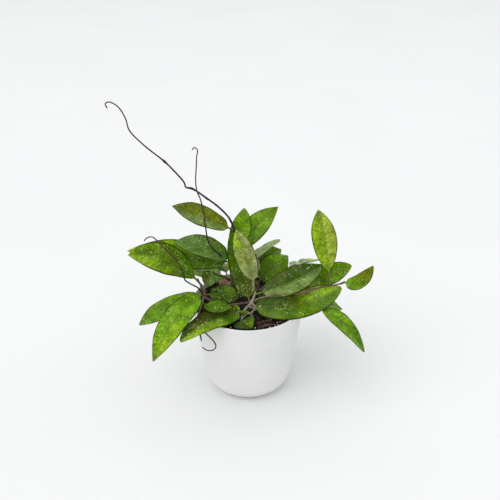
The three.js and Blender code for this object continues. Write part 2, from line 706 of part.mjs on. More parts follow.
function stalkLoop(frame, radius) {
  const count = 2 * (BLADE.columns + 1);
  const loop = [];
  for (let k = 0; k < count; k++) {
    const angle = Math.PI - (k + 0.5) * 2 * Math.PI / count;
    loop.push(frame.centre.clone()
      .addScaledVector(frame.across, radius * Math.cos(angle))
      .addScaledVector(frame.up, radius * Math.sin(angle)));
  }
  return loop;
}

// The rib's place and the blade's own directions at a share t of the way from base to tip.
function ribFrame(leaf, t) {
  const base = vec(leaf.base);
  const chord = vec(leaf.tip).sub(base);
  const forward = chord.clone().normalize();
  const up = vec(leaf.face).addScaledVector(forward, -vec(leaf.face).dot(forward)).normalize();
  const right = new THREE.Vector3().crossVectors(forward, up);
  const arch = 4 * t * (1 - t);
  const slope = 4 * (1 - 2 * t);
  const centre = base.addScaledVector(chord, t)
    .addScaledVector(up, leaf.bow * arch)
    .addScaledVector(right, leaf.sway * arch);
  const along = chord.addScaledVector(up, leaf.bow * slope).addScaledVector(right, leaf.sway * slope)
    .normalize();
  const bladeUp = up.addScaledVector(along, -up.dot(along)).normalize();
  const across = new THREE.Vector3().crossVectors(along, bladeUp);
  return { centre, across, up: bladeUp };
}

function leafSolid(leaf) {
  const length = vec(leaf.base).distanceTo(vec(leaf.tip));
  const stalkShare = leaf.stalk / length;
  const loops = [0, 1].map((t) => stalkLoop(ribFrame(leaf, t * stalkShare), BLADE.stalkRadius));
  for (const [share, width] of bladeOutline(leaf).slice(1)) {
    const frame = ribFrame(leaf, stalkShare + share * (1 - stalkShare));
    loops.push(bladeLoop(leaf, frame, share, Math.max(width * leaf.width / 2, BLADE.tipRadius)));
  }
  return toSolid(skin(loops, true));
}

// A leaf ends a small gap away from the vine that carries it.
function makeLeaf(leaf, clearance) {
  const body = mainBody(leafSolid(leaf).subtract(clearance[leaf.vine]));
  return piece(leaf.name, toGeometry(body), leaf.tone);
}

// ---- Assembly -------------------------------------------------------------------------------------

const plant = new THREE.Group();
plant.name = 'potted_hoya';

const clearance = {};
for (const [name, runs] of Object.entries(VINES)) {
  clearance[name] = union(runs.map((run) => runSolid(run, GAP)));
}

plant.add(makePot());
plant.add(makeSoil(clearance));
for (const name of Object.keys(VINES)) plant.add(makeVine(name));
for (const bark of BARK) plant.add(makeBark(bark));
for (const leaf of [...LEAVES, DRY_LEAF, YOUNG_SHOOT]) plant.add(makeLeaf(leaf, clearance));

export default plant;
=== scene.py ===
import math
import random

import bmesh
import bpy
import numpy as np
from mathutils import Euler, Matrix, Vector, noise


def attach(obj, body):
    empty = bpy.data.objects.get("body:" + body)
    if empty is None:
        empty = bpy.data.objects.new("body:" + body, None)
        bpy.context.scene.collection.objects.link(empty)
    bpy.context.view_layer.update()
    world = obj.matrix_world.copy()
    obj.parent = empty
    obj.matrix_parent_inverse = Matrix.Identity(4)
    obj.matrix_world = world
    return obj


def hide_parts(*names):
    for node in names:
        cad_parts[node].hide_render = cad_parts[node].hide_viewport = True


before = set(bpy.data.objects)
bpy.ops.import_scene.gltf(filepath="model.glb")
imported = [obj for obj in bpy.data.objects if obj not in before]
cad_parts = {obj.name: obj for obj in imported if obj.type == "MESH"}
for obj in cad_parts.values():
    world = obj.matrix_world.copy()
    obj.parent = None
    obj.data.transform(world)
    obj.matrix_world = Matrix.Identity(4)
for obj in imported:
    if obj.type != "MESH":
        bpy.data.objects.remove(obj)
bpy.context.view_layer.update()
MM = 0.001

# ---- The plant's lines, in millimetres

POT = dict(height=113, rim=65, rim_round=0.5, wall=2.2, foot=30, corner=21, turn=86.4, belly=0.8,
           floor=4, slope=3, holes=4, hole_radius=3.5, hole_circle=18, recess=0.35, segments=160)
SOIL = dict(level=107, mound=2.5, roughness=0.9)
GAP = 0.3
WALL_CLEAR = 0.6
KNOT_REACH = 3.2
KNOT_SWELL = 0.45
ROOT_DEPTH = 16

# Each run: thickness at its start and end, knots, points, and the colours at its start and end.
VINES = {
    "vine_main": [
        dict(radii=(1.6, 1.1), look=("grey", "purple"),
             knots=[(4, -25, 126), (6, -15, 146), (12, -8, 162), (-14, 10, 198)], points=[
            (-8, -40, 107 - ROOT_DEPTH), (-8, -38, 107), (-5, -32, 117), (4, -25, 126),
            (8, -20, 135), (6, -16, 143), (8, -12, 151), (12, -8, 162), (9, -2, 172), (-1, 6, 183),
            (-14, 10, 198), (-21, 12, 213), (-32, 14, 225), (-54, 16, 242)]),
        dict(radii=(1.1, 0.7), look=("purple", "russet"), knots=[(-62, 16, 247), (-90, 19, 277)], points=[
            (-44, 15, 234), (-54, 16, 242), (-62, 16, 247), (-68, 17, 248), (-70, 17, 254),
            (-78, 18, 264), (-90, 19, 277), (-112, 20, 296), (-126, 21, 312), (-129, 22, 324),
            (-136, 22, 337), (-145, 22, 342), (-149, 22, 340), (-147, 22, 335)]),
        dict(radii=(1.1, 1.5), look=("mauve", "mauve"), knots=[(-50, -20, 131)], points=[
            (4, -25, 126), (-9, -27, 125), (-21, -28, 124), (-31, -27, 125), (-41, -24, 127),
            (-50, -20, 131), (-52, -19, 140), (-53, -19, 147)]),
        dict(radii=(0.95, 0.65), look=("purple", "russet"), knots=[], points=[
            (-50, -20, 131), (-55, -27, 145), (-64, -36, 157), (-68, -41, 164), (-70, -45, 178),
            (-76, -47, 192), (-84, -47, 202), (-94, -45, 213), (-100, -43, 217), (-106, -42, 215),
            (-109, -41, 211)]),
        dict(radii=(1.2, 0.8), look=("twig", "twig"), knots=[], points=[
            (-50, -20, 131), (-48, -17, 141), (-45, -15, 151)]),
        dict(radii=(1.1, 0.8), look=("twig", "twig"), knots=[], points=[
            (-50, -20, 131), (-53, -14, 140), (-57, -12, 150)]),
        dict(radii=(1.2, 0.6), look=("wood", "russet"), knots=[(-55, -57, 113)], points=[
            (-50, -20, 131), (-51, -27, 127), (-54, -37, 121), (-56, -48, 117), (-55, -57, 113),
            (-51, -61, 113), (-44, -64, 108), (-38, -66, 102), (-35, -66, 95), (-38, -64, 88),
            (-45, -62, 86), (-51, -61, 90)]),
        dict(radii=(1.1, 0.7), look=("russet", "purple"), knots=[], points=[
            (-55, -57, 113), (-52, -61, 105), (-51, -62, 98)]),
        dict(radii=(1.1, 0.9), look=("twig", "mauve"), knots=[(63, -25, 139), (106, -16, 145)], points=[
            (4, -25, 126), (12, -26, 131), (20, -27, 134), (30, -28, 137), (39, -28, 138),
            (52, -27, 138), (63, -25, 139), (77, -22, 142), (91, -19, 143), (106, -16, 145),
            (109, -15, 146)]),
        dict(radii=(1.5, 1.3), look=("wood", "wood"), knots=[(74, -22, 121)], points=[
            (1, -29, 122), (16, -31, 119), (34, -29, 118), (54, -25, 119), (76, -22, 121)]),
        dict(radii=(0.9, 0.7), look=("root", "root"), knots=[], points=[
            (4, -25, 126), (8, -30, 122), (4, -36, 119), (-3, -39, 117), (-8, -43, 112),
            (-6, -45, 107), (-5, -45, 101)]),
        dict(radii=(0.9, 0.7), look=("root", "root"), knots=[], points=[
            (-5, -32, 117), (0, -35, 119), (5, -39, 116), (4, -43, 111), (1, -44, 107),
            (1, -44, 101)]),
    ],
    "vine_back": [
        dict(radii=(2, 1.5), look=("wood", "wood"), knots=[(-18, 6, 135), (-21, 11, 161)], points=[
            (-14, 9, 107 - ROOT_DEPTH), (-14, 8, 107), (-17, 6, 121), (-18, 6, 135), (-20, 8, 149),
            (-21, 11, 161), (-22, 12, 167)]),
        dict(radii=(1, 0.65), look=("purple", "russet"), knots=[], points=[
            (-21, 11, 161), (-28, 3, 168), (-33, -10, 180), (-38, -19, 190), (-43, -23, 203),
            (-45, -24, 219), (-47, -22, 237), (-50, -18, 249), (-54, -11, 256), (-55, -8, 266),
            (-54, -6, 280), (-53, -6, 293), (-52, -6, 299), (-55, -6, 302), (-58, -6, 299)]),
    ],
    "vine_rear": [
        dict(radii=(2, 1.5), look=("wood", "wood"), knots=[(10, 12, 128), (4, 18, 140)], points=[
            (14, 12, 107 - ROOT_DEPTH), (14, 11, 107), (13, 11, 118), (10, 12, 128), (4, 18, 140),
            (-1, 22, 148), (-3, 24, 152)]),
        dict(radii=(1.6, 1.5), look=("wood", "wood"), knots=[(50, 50, 124)], points=[
            (13, 11, 118), (24, 24, 121), (38, 38, 123), (50, 50, 124), (55, 54, 125)]),
        dict(radii=(1.6, 1.5), look=("wood", "wood"), knots=[(-24, 46, 117)], points=[
            (13, 11, 118), (4, 24, 118), (-9, 36, 116), (-24, 46, 117), (-29, 49, 118)]),
    ],
}

# name: (width, stalk, base, tip, face, bow, sway, fold, (peak, full)), as in the solids, then the skin
# and the look: the colours near the stalk and near the tip, then, where one half has its own colour,
# that colour, partly the leaf's own and partly painted light and shade on that half of the fold, and
# which half (-1 or 1).
LEAVES = {
    "high_left": ((28, 8, (-14, 10, 198), (-82, -5, 235), (0, -4, 6), -3, 2.8, 14, (0.45, 1.05)),
        "dark", ("olive", "olive", "sage", -1)),
    "top_middle": ((24, 10, (-22, 12, 167), (-4, 28, 218), (-1, -6, 2), -1, 4, 12, (0.45, 1.15)),
        "green", ("grass", "grass")),
    "top_right": ((28, 12, (-21, 11, 160), (35, 42, 213), (0, -6, 2), -2, -4, 12, (0.47, 1)),
        "green", ("grass", "grass")),
    "pale_upright": ((25, 2, (6, -16, 147), (-12, -24, 216), (-1, -6, 1), 0, 1, 14, (0.49, 1.25)),
        "silver", ("rose", "lime", "rose", 1)),
    "dark_upright": ((30, 4, (2, -26, 126), (-18, 13, 199), (-1, -6, 2), -5, 0, 10, (0.43, 1.2)),
        "dark", ("forest", "moss")),
    "left_front": ((36, 8, (-53, -20, 146), (-130, -27, 187), (0, -4, 6), 8, 8, 12, (0.55, 1.1)),
        "bright", ("moss", "lime", "moss", 1)),
    "left_long": ((35, 3, (-21, 10, 158), (-135, -4, 180), (0, -5, 6), 5, 0, 10, (0.45, 1.1)),
        "bright", ("moss", "lime", "moss", -1)),
    "left_grey": ((28, 3, (-21, 11, 163), (-80, -14, 196), (0, -5, 6), 8, 0, 12, (0.45, 1.25)),
        "silver", ("moss", "jade", "jade", -1)),
    "left_inner": ((20, 16, (-18, 6, 135.3), (-58, 2.5, 150), (1, 4, 8), 2, 0, 14, (0.47, 1)),
        "silver", ("forest", "jade", "sage", 1)),
    "inner_upright": ((18, 2, (-46, -16, 140), (-41, -13.5, 160), (-3, -6, 2), 1, 0, 12, (0.5, 1.1)),
        "dark", ("forest", "forest", "jade", 1)),
    "left_arched": ((27, 3, (-51, -19, 133), (-122, -39, 104), (-1, -3, 6), -4, 6.5, 12, (0.53, 1)),
        "green", ("grass", "grass")),
    "left_drooping": ((33, 3, (-51, -21, 134), (-103, -77, 82), (-2, -5, 4), 15.5, 1, 12, (0.44, 0.9)),
        "bright", ("grass", "lime", "grass", 1)),
    "small_inner": ((24, 5, (-49, -18, 131), (-10, -15, 127), (0, -4, 5), 4, 0, 12, (0.5, 1.2)),
        "dark", ("forest", "moss", "forest", 1)),
    "small_bright": ((19, 4, (-51, -28, 126), (-17, -41, 129), (0, -2, 6), 1, 4, 12, (0.43, 1.05)),
        "bright", ("moss", "moss")),
    "over_rim": ((32, 3, (-5, -33, 117.5), (-72, -82, 112), (0, -1.5, 6), 1, 6, 12, (0.41, 1.15)),
        "dark", ("moss", "lime", "umber", 1)),
    "at_rim": ((28, 4, (-9, -39, 111), (5, -56, 112), (0, -1, 6), 2, 2, 8, (0.46, 1.2)),
        "green", ("forest", "moss", "forest", 1)),
    "inner_dark": ((15, 3, (-6, -30, 116), (-30, -19, 116), (0, -2, 6), 1, 0, 12, (0.47, 1)),
        "dark", ("grass", "moss")),
    "grey_narrow": ((23, 8, (-1, 22, 148), (38, 44, 169), (3, 3, 8), 1, 0, 16, (0.47, 1)),
        "silver", ("pale", "pale")),
    "rear_dark": ((25, 8, (2, 20, 144), (40, 54, 152), (-1, -3, 6), 3, 0, 12, (0.47, 1)),
        "dark", ("grass", "moss", "grass", 1)),
    "rear_bright": ((33, 6, (10, 12, 128), (47, 30, 156), (0, -5, 5), 2, 0, 14, (0.47, 1)),
        "green", ("moss", "grass", "moss", 1)),
    "back_thin": ((24, 8, (38, 38, 123), (66, 50, 134), (0, 4, 8), 3, 0, 10, (0.47, 1)),
        "silver", ("pale", "pale")),
    "back_far": ((26, 8, (54, 54, 125), (91, 84, 122), (0, 4, 8), 1, 0, 10, (0.47, 1)),
        "silver", ("jade", "pale")),
    "right_upright": ((28, 18, (92, -19, 144), (76, -6, 231), (0, -6, 1), 0, 2, 14, (0.54, 1.15)),
        "bright", ("lime", "lime", "yellow", 1)),
    "right_behind": ((24, 9, (70, -22, 143.5), (120, 12, 152), (0, -6, 3), -6.5, -2, 12, (0.5, 1.3)),
        "dark", ("moss", "grass")),
    "right_curled": ((18, 2, (108, -15, 146), (137, -28, 174), (-3, -5, 5), 0, 9, 16, (0.47, 1.3)),
        "bright", ("grass", "olive")),
    "right_silver": ((31, 8, (7, -21, 133), (86, -1, 161), (0, -5, 5), 3, 4, 12, (0.47, 1)),
        "silver", ("forest", "forest", "sage", 1)),
    "right_inner": ((18, 6, (4, -24, 123), (62, -9, 124), (0, -3, 6), 0, -4, 12, (0.47, 1)),
        "dark", ("forest", "forest")),
    "right_broad": ((36, 4, (3, -27, 123), (106, -14, 138), (0, -5, 5), 0, 9, 10, (0.46, 1.35)),
        "green", ("forest", "lime", "moss", 1)),
    "right_drooping": ((22, 8, (75, -22, 121), (132, -46, 72), (3, -4, 6), 11, 0, 12, (0.47, 1)),
        "bright", ("grass", "moss", "grass", 1)),
    "right_hidden": ((20, 6, (71, -21, 121), (111, 0, 101), (2, -2, 6), 2, 0, 12, (0.47, 1)),
        "green", ("moss", "grass")),
    "right_rear": ((31, 9, (25, 25, 122), (97, 9, 136), (0, -3, 6), 1, 0, 12, (0.47, 1)),
        "dark", ("forest", "moss", "grass", 1)),
    "back_left": ((33, 8, (-25, 46, 117), (-93, 70, 109), (0, 2, 8), 5, 0, 12, (0.47, 1)),
        "green", ("moss", "grass")),
    "back_low": ((32, 8, (-25, 48, 117), (-46, 118, 84), (0, 4, 6), 12, 0, 12, (0.47, 1)),
        "dark", ("forest", "moss", "olive", 1)),
    "back_middle": ((34, 9, (4, 24, 120), (14, 106, 92), (0, 4, 6), 16, 0, 12, (0.47, 1)),
        "bright", ("grass", "lime", "grass", 1)),
    "back_right": ((31, 9, (51, 50, 123), (84, 110, 84), (2, 4, 6), 10, 0, 12, (0.47, 1)),
        "green", ("moss", "grass", "jade", -1)),
    "back_upright": ((30, 8, (-3, 24, 151), (-12, 64, 186), (0, 5, 4), 4, 0, 12, (0.47, 1)),
        "green", ("grass", "moss")),
    "back_shoulder": ((28, 9, (-18, 7, 128), (-84, 60, 128), (-1, 2, 8), 3, -8, 12, (0.47, 1)),
        "dark", ("moss", "grass")),
}
YOUNG_SHOOT = (8, 4, (-6, -34, 115), (-1, -40, 124), (0, -6, 2), 1, 0, 20, (0.5, 1))
DRY_LEAF = (11, 4, (-18, 6, 134), (-34, -4, 133), (0, -4, 5), 2, 0, 20, (0.5, 1))

# Half the width along a blade that is widest halfway, as shares of its length and of its half width.
OUTLINE = [(0, 0.1), (0.04, 0.27), (0.13, 0.58), (0.28, 0.86), (0.5, 1), (0.66, 0.91), (0.79, 0.69),
           (0.89, 0.42), (0.96, 0.18), (1, 0.03)]
BLADE = dict(rib=1.4, edge=0.8, stalk=1.15, tip=0.3, wave=0.05)
# Finer than in the solids: the grid, a slim stalk that swells at its joint, a rounded crease, a groove
# over the rib and a ridge under it, a fluttered edge, and where the stalk widens into the blade.
FINE = dict(columns=22, rows=60, stalk_rows=8, slim=0.92, swell=0.18, swell_reach=2.2, crease_round=0.004,
            crease_sink=0.063, groove=0.35, ridge=0.45, rib_reach=0.9, flutter=0.010, widening=0.07)
# Rings along a stem: their spacing, width, swelling and darkness. The stem between them is slim.
RINGS = dict(spacing=24, width=0.9, swell=0.12, dark=0.3, slim=0.91)
STEM_STEP = 1.1
SPLINE_STEPS = 40
STREAK_SHIFT = 37

# name: (x, y), turn, length, radius, sweep, thickness, rest above the soil's even surface
BARK = {
    "bark_curl": ((20, -48.5), 23, 17, 4.6, 200, 1.3, -0.8),
    "bark_chip_front": ((39, -36), -50, 11, 9, 60, 1.5, 0.3),
    "bark_chip_back": ((-8, 40), 75, 14, 10, 62, 1.6, 0.3),
}


def srgb(code):
    """A colour given as #rrggbb, in linear light."""
    parts = [int(code[i:i + 2], 16) / 255 for i in (1, 3, 5)]
    return np.array([p / 12.92 if p <= 0.04045 else ((p + 0.055) / 1.055) ** 2.4 for p in parts])


PALETTE = {name: srgb(code) for name, code in {
    "forest": "#2c4d02", "moss": "#4e7604", "grass": "#6b9a14", "lime": "#8ab016", "yellow": "#a4b63e",
    "olive": "#6a7808", "umber": "#3a400a", "jade": "#5b873a", "sage": "#6e8746", "pale": "#a8bc84",
    "rose": "#9ea764", "wood": "#7a6d5e", "grey": "#948c82", "twig": "#7b6d4c", "purple": "#1f1514",
    "russet": "#42241f", "mauve": "#654a40", "root": "#9c8c7c", "under": "#738c3c", "dry": "#8f6a5a",
}.items()}


# ---- Meshes --------------------------

def unit(v):
    return v / np.linalg.norm(v)


def smoothstep(a, b, x):
    t = np.clip((x - a) / (b - a), 0, 1)
    return t * t * (3 - 2 * t)


def hermite(t, a, b, slope_a, slope_b):
    """The smooth step from a to b at a share t, with the slopes at its ends."""
    return ((2 * t ** 3 - 3 * t * t + 1) * a + (t ** 3 - 2 * t * t + t) * slope_a
            + (3 * t * t - 2 * t ** 3) * b + (t ** 3 - t * t) * slope_b)


def mottle(points, size, seed):
    """Smooth noise between -1 and 1 at each point, with patches about "size" millimetres across."""
    offset = Vector((seed * 17.3, seed * 5.1, seed * 9.7))
    return np.array([noise.noise(Vector(p) / size + offset) for p in points])


def new_piece(name, node, points, faces, material, tint=None, blade=None):
    """One piece from points in millimetres, standing for a node, with its colours at its points."""
    mesh = bpy.data.meshes.new(name)
    mesh.from_pydata([tuple(p) for p in np.asarray(points) * MM], [], faces)
    mesh.update()
    if tint is not None:
        layer = mesh.color_attributes.new("tint", "FLOAT_COLOR", "POINT")
        rgba = np.ones((len(points), 4), dtype=np.float32)
        rgba[:, :tint.shape[1]] = tint
        layer.data.foreach_set("color", rgba.ravel())
    if blade is not None:
        layer = mesh.attributes.new("blade", "FLOAT_VECTOR", "POINT")
        layer.data.foreach_set("vector", np.asarray(blade, dtype=np.float32).ravel())
    mesh.shade_smooth()
    mesh.materials.append(material)
    piece = bpy.data.objects.new(name, mesh)
    bpy.context.scene.collection.objects.link(piece)
    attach(piece, "root")
    if node:
        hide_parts(node)
    return piece


def ring_faces(rings, count, closed_ends=True):
    """The faces of a skin over "rings" loops of "count" points, with a face over each end."""
    faces = []
    for ring in range(rings - 1):
        for k in range(count):
            n = (k + 1) % count
            faces.append((ring * count + k, ring * count + n,
                          (ring + 1) * count + n, (ring + 1) * count + k))
    if closed_ends:
        faces.append(tuple(reversed(range(count))))
        faces.append(tuple((rings - 1) * count + k for k in range(count)))
    return faces


# ---- Nodes ---------------------------

class Nodes:
    """A short way to write a material's nodes."""

    def __init__(self, name):
        self.material = bpy.data.materials.new(name)
        self.material.use_nodes = True
        self.tree = self.material.node_tree
        self.shader = self.tree.nodes["Principled BSDF"]

    def add(self, kind, **settings):
        node = self.tree.nodes.new("ShaderNode" + kind)
        for key, value in settings.items():
            if hasattr(node, key):
                setattr(node, key, value)
            else:
                node.inputs[key.replace("_", " ")].default_value = value
        return node

    def link(self, source, target):
        self.tree.links.new(source, target)

    def put(self, value, socket):
        if isinstance(value, bpy.types.NodeSocket):
            self.tree.links.new(value, socket)
        else:
            socket.default_value = value

    def math(self, operation, a, b=0.0):
        node = self.add("Math", operation=operation)
        self.put(a, node.inputs[0])
        self.put(b, node.inputs[1])
        return node.outputs[0]

    def times(self, a, b):
        return self.math("MULTIPLY", a, b)

    def plus(self, a, b):
        return self.math("ADD", a, b)

    def mix(self, factor, a, b, blend="MIX"):
        node = self.tree.nodes.new("ShaderNodeMix")
        node.data_type = "RGBA"
        node.blend_type = blend
        self.put(factor, node.inputs[0])
        self.put(a, node.inputs[6])
        self.put(b, node.inputs[7])
        return node.outputs[2]

    def place(self):
        return self.add("TexCoord").outputs["Object"]

    def noise(self, scale, detail=3.0, roughness=0.55, distortion=0.0, vector=None):
        node = self.add("TexNoise", Scale=scale, Detail=detail, Roughness=roughness,
                        Distortion=distortion)
        self.link(vector or self.place(), node.inputs["Vector"])
        return node.outputs["Fac"]

    def warped(self, scale, reach):
        """The place, shifted about by a noise."""
        wander = self.add("TexNoise", Scale=scale, Detail=2.0)
        self.link(self.place(), wander.inputs["Vector"])
        shift = self.add("VectorMath", operation="MULTIPLY_ADD")
        self.link(wander.outputs["Color"], shift.inputs[0])
        shift.inputs[1].default_value = (reach,) * 3
        self.link(self.place(), shift.inputs[2])
        return shift.outputs[0]

    def ramp(self, value, stops):
        node = self.add("ValToRGB")
        elements = node.color_ramp.elements
        while len(elements) < len(stops):
            elements.new(0.5)
        for element, (at, colour) in zip(elements, stops):
            element.position = at
            element.color = (*colour, 1) if not isinstance(colour, float) else (colour,) * 3 + (1,)
        self.put(value, node.inputs[0])
        return node.outputs[0]

    def range(self, value, low, high, to_low=0.0, to_high=1.0):
        node = self.add("MapRange", clamp=True)
        self.put(value, node.inputs["Value"])
        sockets = ("From Min", "From Max", "To Min", "To Max")
        for socket, bound in zip(sockets, (low, high, to_low, to_high)):
            node.inputs[socket].default_value = bound
        return node.outputs[0]

    def bump(self, height, strength, distance):
        node = self.add("Bump", Strength=strength, Distance=distance)
        self.link(height, node.inputs["Height"])
        return node.outputs["Normal"]

    def finish(self, colour, roughness, normal, **plain):
        self.put(colour, self.shader.inputs["Base Color"])
        self.put(roughness, self.shader.inputs["Roughness"])
        if normal is not None:
            self.link(normal, self.shader.inputs["Normal"])
        for key, value in plain.items():
            self.shader.inputs[key.replace("_", " ")].default_value = value
        return self.material


BRONZE = (0.115, 0.115, 0.008, 1)
VEIN = (0.34, 0.42, 0.09, 1)
# Painted shade for the groove beside the rib.
PAINTED_GROOVE_SHADE = (0.015, 0.04, 0.0, 1)
RIB = (0.30, 0.38, 0.08, 1)
# Pale bloom colour: partly the wax's own tone, partly painted sheen.
PAINTED_SHEEN_AND_BLOOM = (0.27, 0.33, 0.17, 1)
FLECK = (0.60, 0.63, 0.28, 1)
MARGIN = (0.028, 0.033, 0.006, 1)


def leaf_material(name, flecks, roughness, bloom_sheen_amount, sheen):
    """Waxy leaf: colours from the piece, faint veins, painted shade beside the rib, a silvery bloom
    partly painted as sheen, pale flecks in clusters, a dark thin margin.
    """
    n = Nodes(name)
    tint = n.add("Attribute", attribute_name="tint")
    blade = n.add("Attribute", attribute_name="blade").outputs["Vector"]
    split = n.add("SeparateXYZ")
    n.link(blade, split.inputs[0])
    across, along, top = split.outputs
    aside = n.math("ABSOLUTE", across)
    patches = n.noise(95, 4, 0.62, 0.3)
    fine = n.noise(560, 3, 0.6)
    # Dark patches are greener and pale ones yellower, and some are flushed with bronze.
    colour = n.mix(1.0, tint.outputs["Color"],
                   n.ramp(patches, [(0.36, (0.58, 0.65, 0.6)), (0.5, (0.98, 1.0, 0.95)),
                                    (0.64, (1.38, 1.26, 1.35))]), "MULTIPLY")
    colour = n.mix(0.8, colour, n.ramp(fine, [(0.34, 0.58), (0.66, 1.4)]), "MULTIPLY")
    flush = n.times(n.range(n.noise(36, 3), 0.5, 0.66), 0.4)
    colour = n.mix(flush, colour, BRONZE)
    # Side veins leave the rib at a slant and wander, and show only here and there.
    slant = n.math("SUBTRACT", along, n.times(aside, 0.8))
    bend = n.times(n.noise(110, 3), 9.0)
    streak_place = n.add("CombineXYZ")
    n.link(n.times(n.plus(slant, bend), 0.5), streak_place.inputs[0])
    n.link(n.times(across, 0.13), streak_place.inputs[1])
    streaks = n.noise(1.0, 4, 0.6, 0.0, streak_place.outputs[0])
    colour = n.mix(0.85, colour, n.ramp(streaks, [(0.34, 0.6), (0.66, 1.4)]), "MULTIPLY")
    wave = n.math("SINE", n.times(n.plus(slant, bend), 0.85))
    vein = n.times(n.range(wave, 0.8, 1.0), n.range(aside, 0.6, 1.6))
    vein = n.times(vein, n.range(n.noise(60, 2), 0.45, 0.62))
    colour = n.mix(n.times(vein, 0.14), colour, VEIN)
    # The rib is a thin line, with painted shade in the groove beside it.
    rib = n.range(aside, 0.25, 0.7, 1.0, 0.0)
    painted_rib_shade = n.range(aside, 0.6, 2.4, 0.3, 0.0)
    colour = n.mix(painted_rib_shade, colour, PAINTED_GROOVE_SHADE)
    colour = n.mix(n.times(rib, 0.28), colour, RIB)
    # A silvery bloom lies on some of the skin: partly the wax's own pale tone, partly a painted sheen of
    # reflected light.
    bloom_and_painted_sheen = n.times(n.range(n.noise(42, 3), 0.42, 0.66), bloom_sheen_amount)
    colour = n.mix(bloom_and_painted_sheen, colour, PAINTED_SHEEN_AND_BLOOM)
    # Pale flecks: ragged blotches in clusters, and small dots between them.
    crowd = n.range(n.noise(50, 2), 0.40, 0.60)
    blotch = n.noise(640, 2, 0.5, 0.5)
    level = n.math("SUBTRACT", 0.76, n.times(crowd, flecks * 0.3))
    blotch = n.range(n.math("SUBTRACT", blotch, level), 0.0, 0.05)
    dots = n.add("TexVoronoi", Scale=400, Randomness=1.0)
    n.link(n.warped(480, 0.0022), dots.inputs["Vector"])
    chance = n.add("SeparateColor")
    n.link(dots.outputs["Color"], chance.inputs[0])
    chosen = n.math("LESS_THAN", chance.outputs[0], n.range(crowd, 0.0, 1.0, 0.06, flecks))
    size = n.plus(n.times(chance.outputs[1], 0.24), 0.14)
    near = n.math("SUBTRACT", size, dots.outputs["Distance"])
    dot = n.times(n.range(near, 0.0, 0.1), chosen)
    fleck = n.times(n.math("MAXIMUM", blotch, dot), n.range(top, 0.2, 0.8))
    colour = n.mix(n.times(fleck, 0.78), colour, FLECK)
    # The margin is a thin dark line, broken here and there.
    line = n.range(tint.outputs["Alpha"], 0.87, 0.95)
    line = n.times(line, n.range(n.noise(120, 3), 0.36, 0.52, 0.45, 0.95))
    colour = n.mix(line, colour, MARGIN)
    height = n.times(fine, 0.35)
    for relief, weight in ((vein, -0.5), (fleck, 0.3), (patches, 1.6), (streaks, 0.5)):
        height = n.plus(height, n.times(relief, weight))
    normal = n.bump(height, 0.55, 0.0006)
    rough = n.range(fine, 0.3, 0.7, roughness - 0.05, roughness + 0.09)
    rough = n.plus(rough, n.times(fleck, 0.15))
    return n.finish(colour, rough, normal, Specular_IOR_Level=sheen,
                    Specular_Tint=(0.62, 0.75, 0.22, 1),
                    Subsurface_Weight=0.05, Subsurface_Radius=(0.0012, 0.0016, 0.0002),
                    Subsurface_Scale=1.0)


def stem_material():
    """Stem skin: a fine grain, small pale pores, and dull patches."""
    n = Nodes("stem_skin")
    tint = n.add("Attribute", attribute_name="tint").outputs["Color"]
    patches = n.noise(230, 4, 0.6)
    fine = n.noise(1500, 4, 0.65)
    colour = n.mix(1.0, tint, n.ramp(patches, [(0.3, 0.6), (0.5, 1.0), (0.72, 1.35)]), "MULTIPLY")
    colour = n.mix(0.8, colour, n.ramp(fine, [(0.32, 0.7), (0.68, 1.3)]), "MULTIPLY")
    pores = n.add("TexVoronoi", Scale=900, Randomness=1.0)
    n.link(n.place(), pores.inputs["Vector"])
    pore = n.range(pores.outputs["Distance"], 0.12, 0.26, 1.0, 0.0)
    colour = n.mix(n.times(pore, 0.2), colour, (0.45, 0.37, 0.3, 1))
    height = n.plus(n.times(fine, 0.6), patches)
    height = n.plus(height, n.times(pore, 0.5))
    return n.finish(colour, n.range(patches, 0.3, 0.7, 0.5, 0.75), n.bump(height, 0.6, 0.0004),
                    Specular_IOR_Level=0.35)


def pot_material():
    """White plastic: a soft sheen, faint clouding, a very fine grain and a few dull smudges."""
    n = Nodes("pot_plastic")
    clouds = n.noise(22, 4, 0.5)
    grain = n.noise(1400, 3, 0.6)
    smudge = n.noise(48, 5, 0.7, 0.6)
    colour = n.ramp(clouds, [(0.3, (0.785, 0.79, 0.785)), (0.7, (0.835, 0.835, 0.825))])
    colour = n.mix(n.range(smudge, 0.62, 0.8, 0.0, 0.25), colour, (0.66, 0.65, 0.63, 1))
    rough = n.plus(n.range(clouds, 0.3, 0.7, 0.34, 0.44), n.range(smudge, 0.55, 0.8, 0.0, 0.16))
    height = n.plus(n.times(grain, 0.4), clouds)
    return n.finish(colour, rough, n.bump(height, 0.12, 0.0003), Specular_IOR_Level=0.5)


def soil_material():
    """Moist potting mix: nearly black, with brown and fibrous patches."""
    n = Nodes("soil_mix")
    patches = n.noise(260, 6, 0.7)
    fine = n.noise(1100, 4, 0.7)
    colour = n.ramp(patches, [(0.3, (0.006, 0.0045, 0.0035)), (0.55, (0.020, 0.0135, 0.010)),
                              (0.75, (0.055, 0.036, 0.025))])
    colour = n.mix(0.7, colour, n.ramp(fine, [(0.3, 0.5), (0.7, 1.5)]), "MULTIPLY")
    height = n.plus(patches, n.times(fine, 0.6))
    return n.finish(colour, n.range(fine, 0.3, 0.7, 0.75, 0.98), n.bump(height, 0.9, 0.0012),
                    Specular_IOR_Level=0.3)


def lump_material(name, low, high, rough, scale=700):
    """A loose lump's skin, between two colours, pitted."""
    n = Nodes(name)
    patches = n.noise(scale, 5, 0.7)
    pits = n.noise(scale * 3, 3, 0.6)
    colour = n.ramp(patches, [(0.32, low), (0.68, high)])
    height = n.plus(patches, n.times(pits, 0.5))
    return n.finish(colour, n.range(pits, 0.3, 0.7, rough - 0.1, rough), n.bump(height, 0.8, 0.0006),
                    Specular_IOR_Level=0.3)


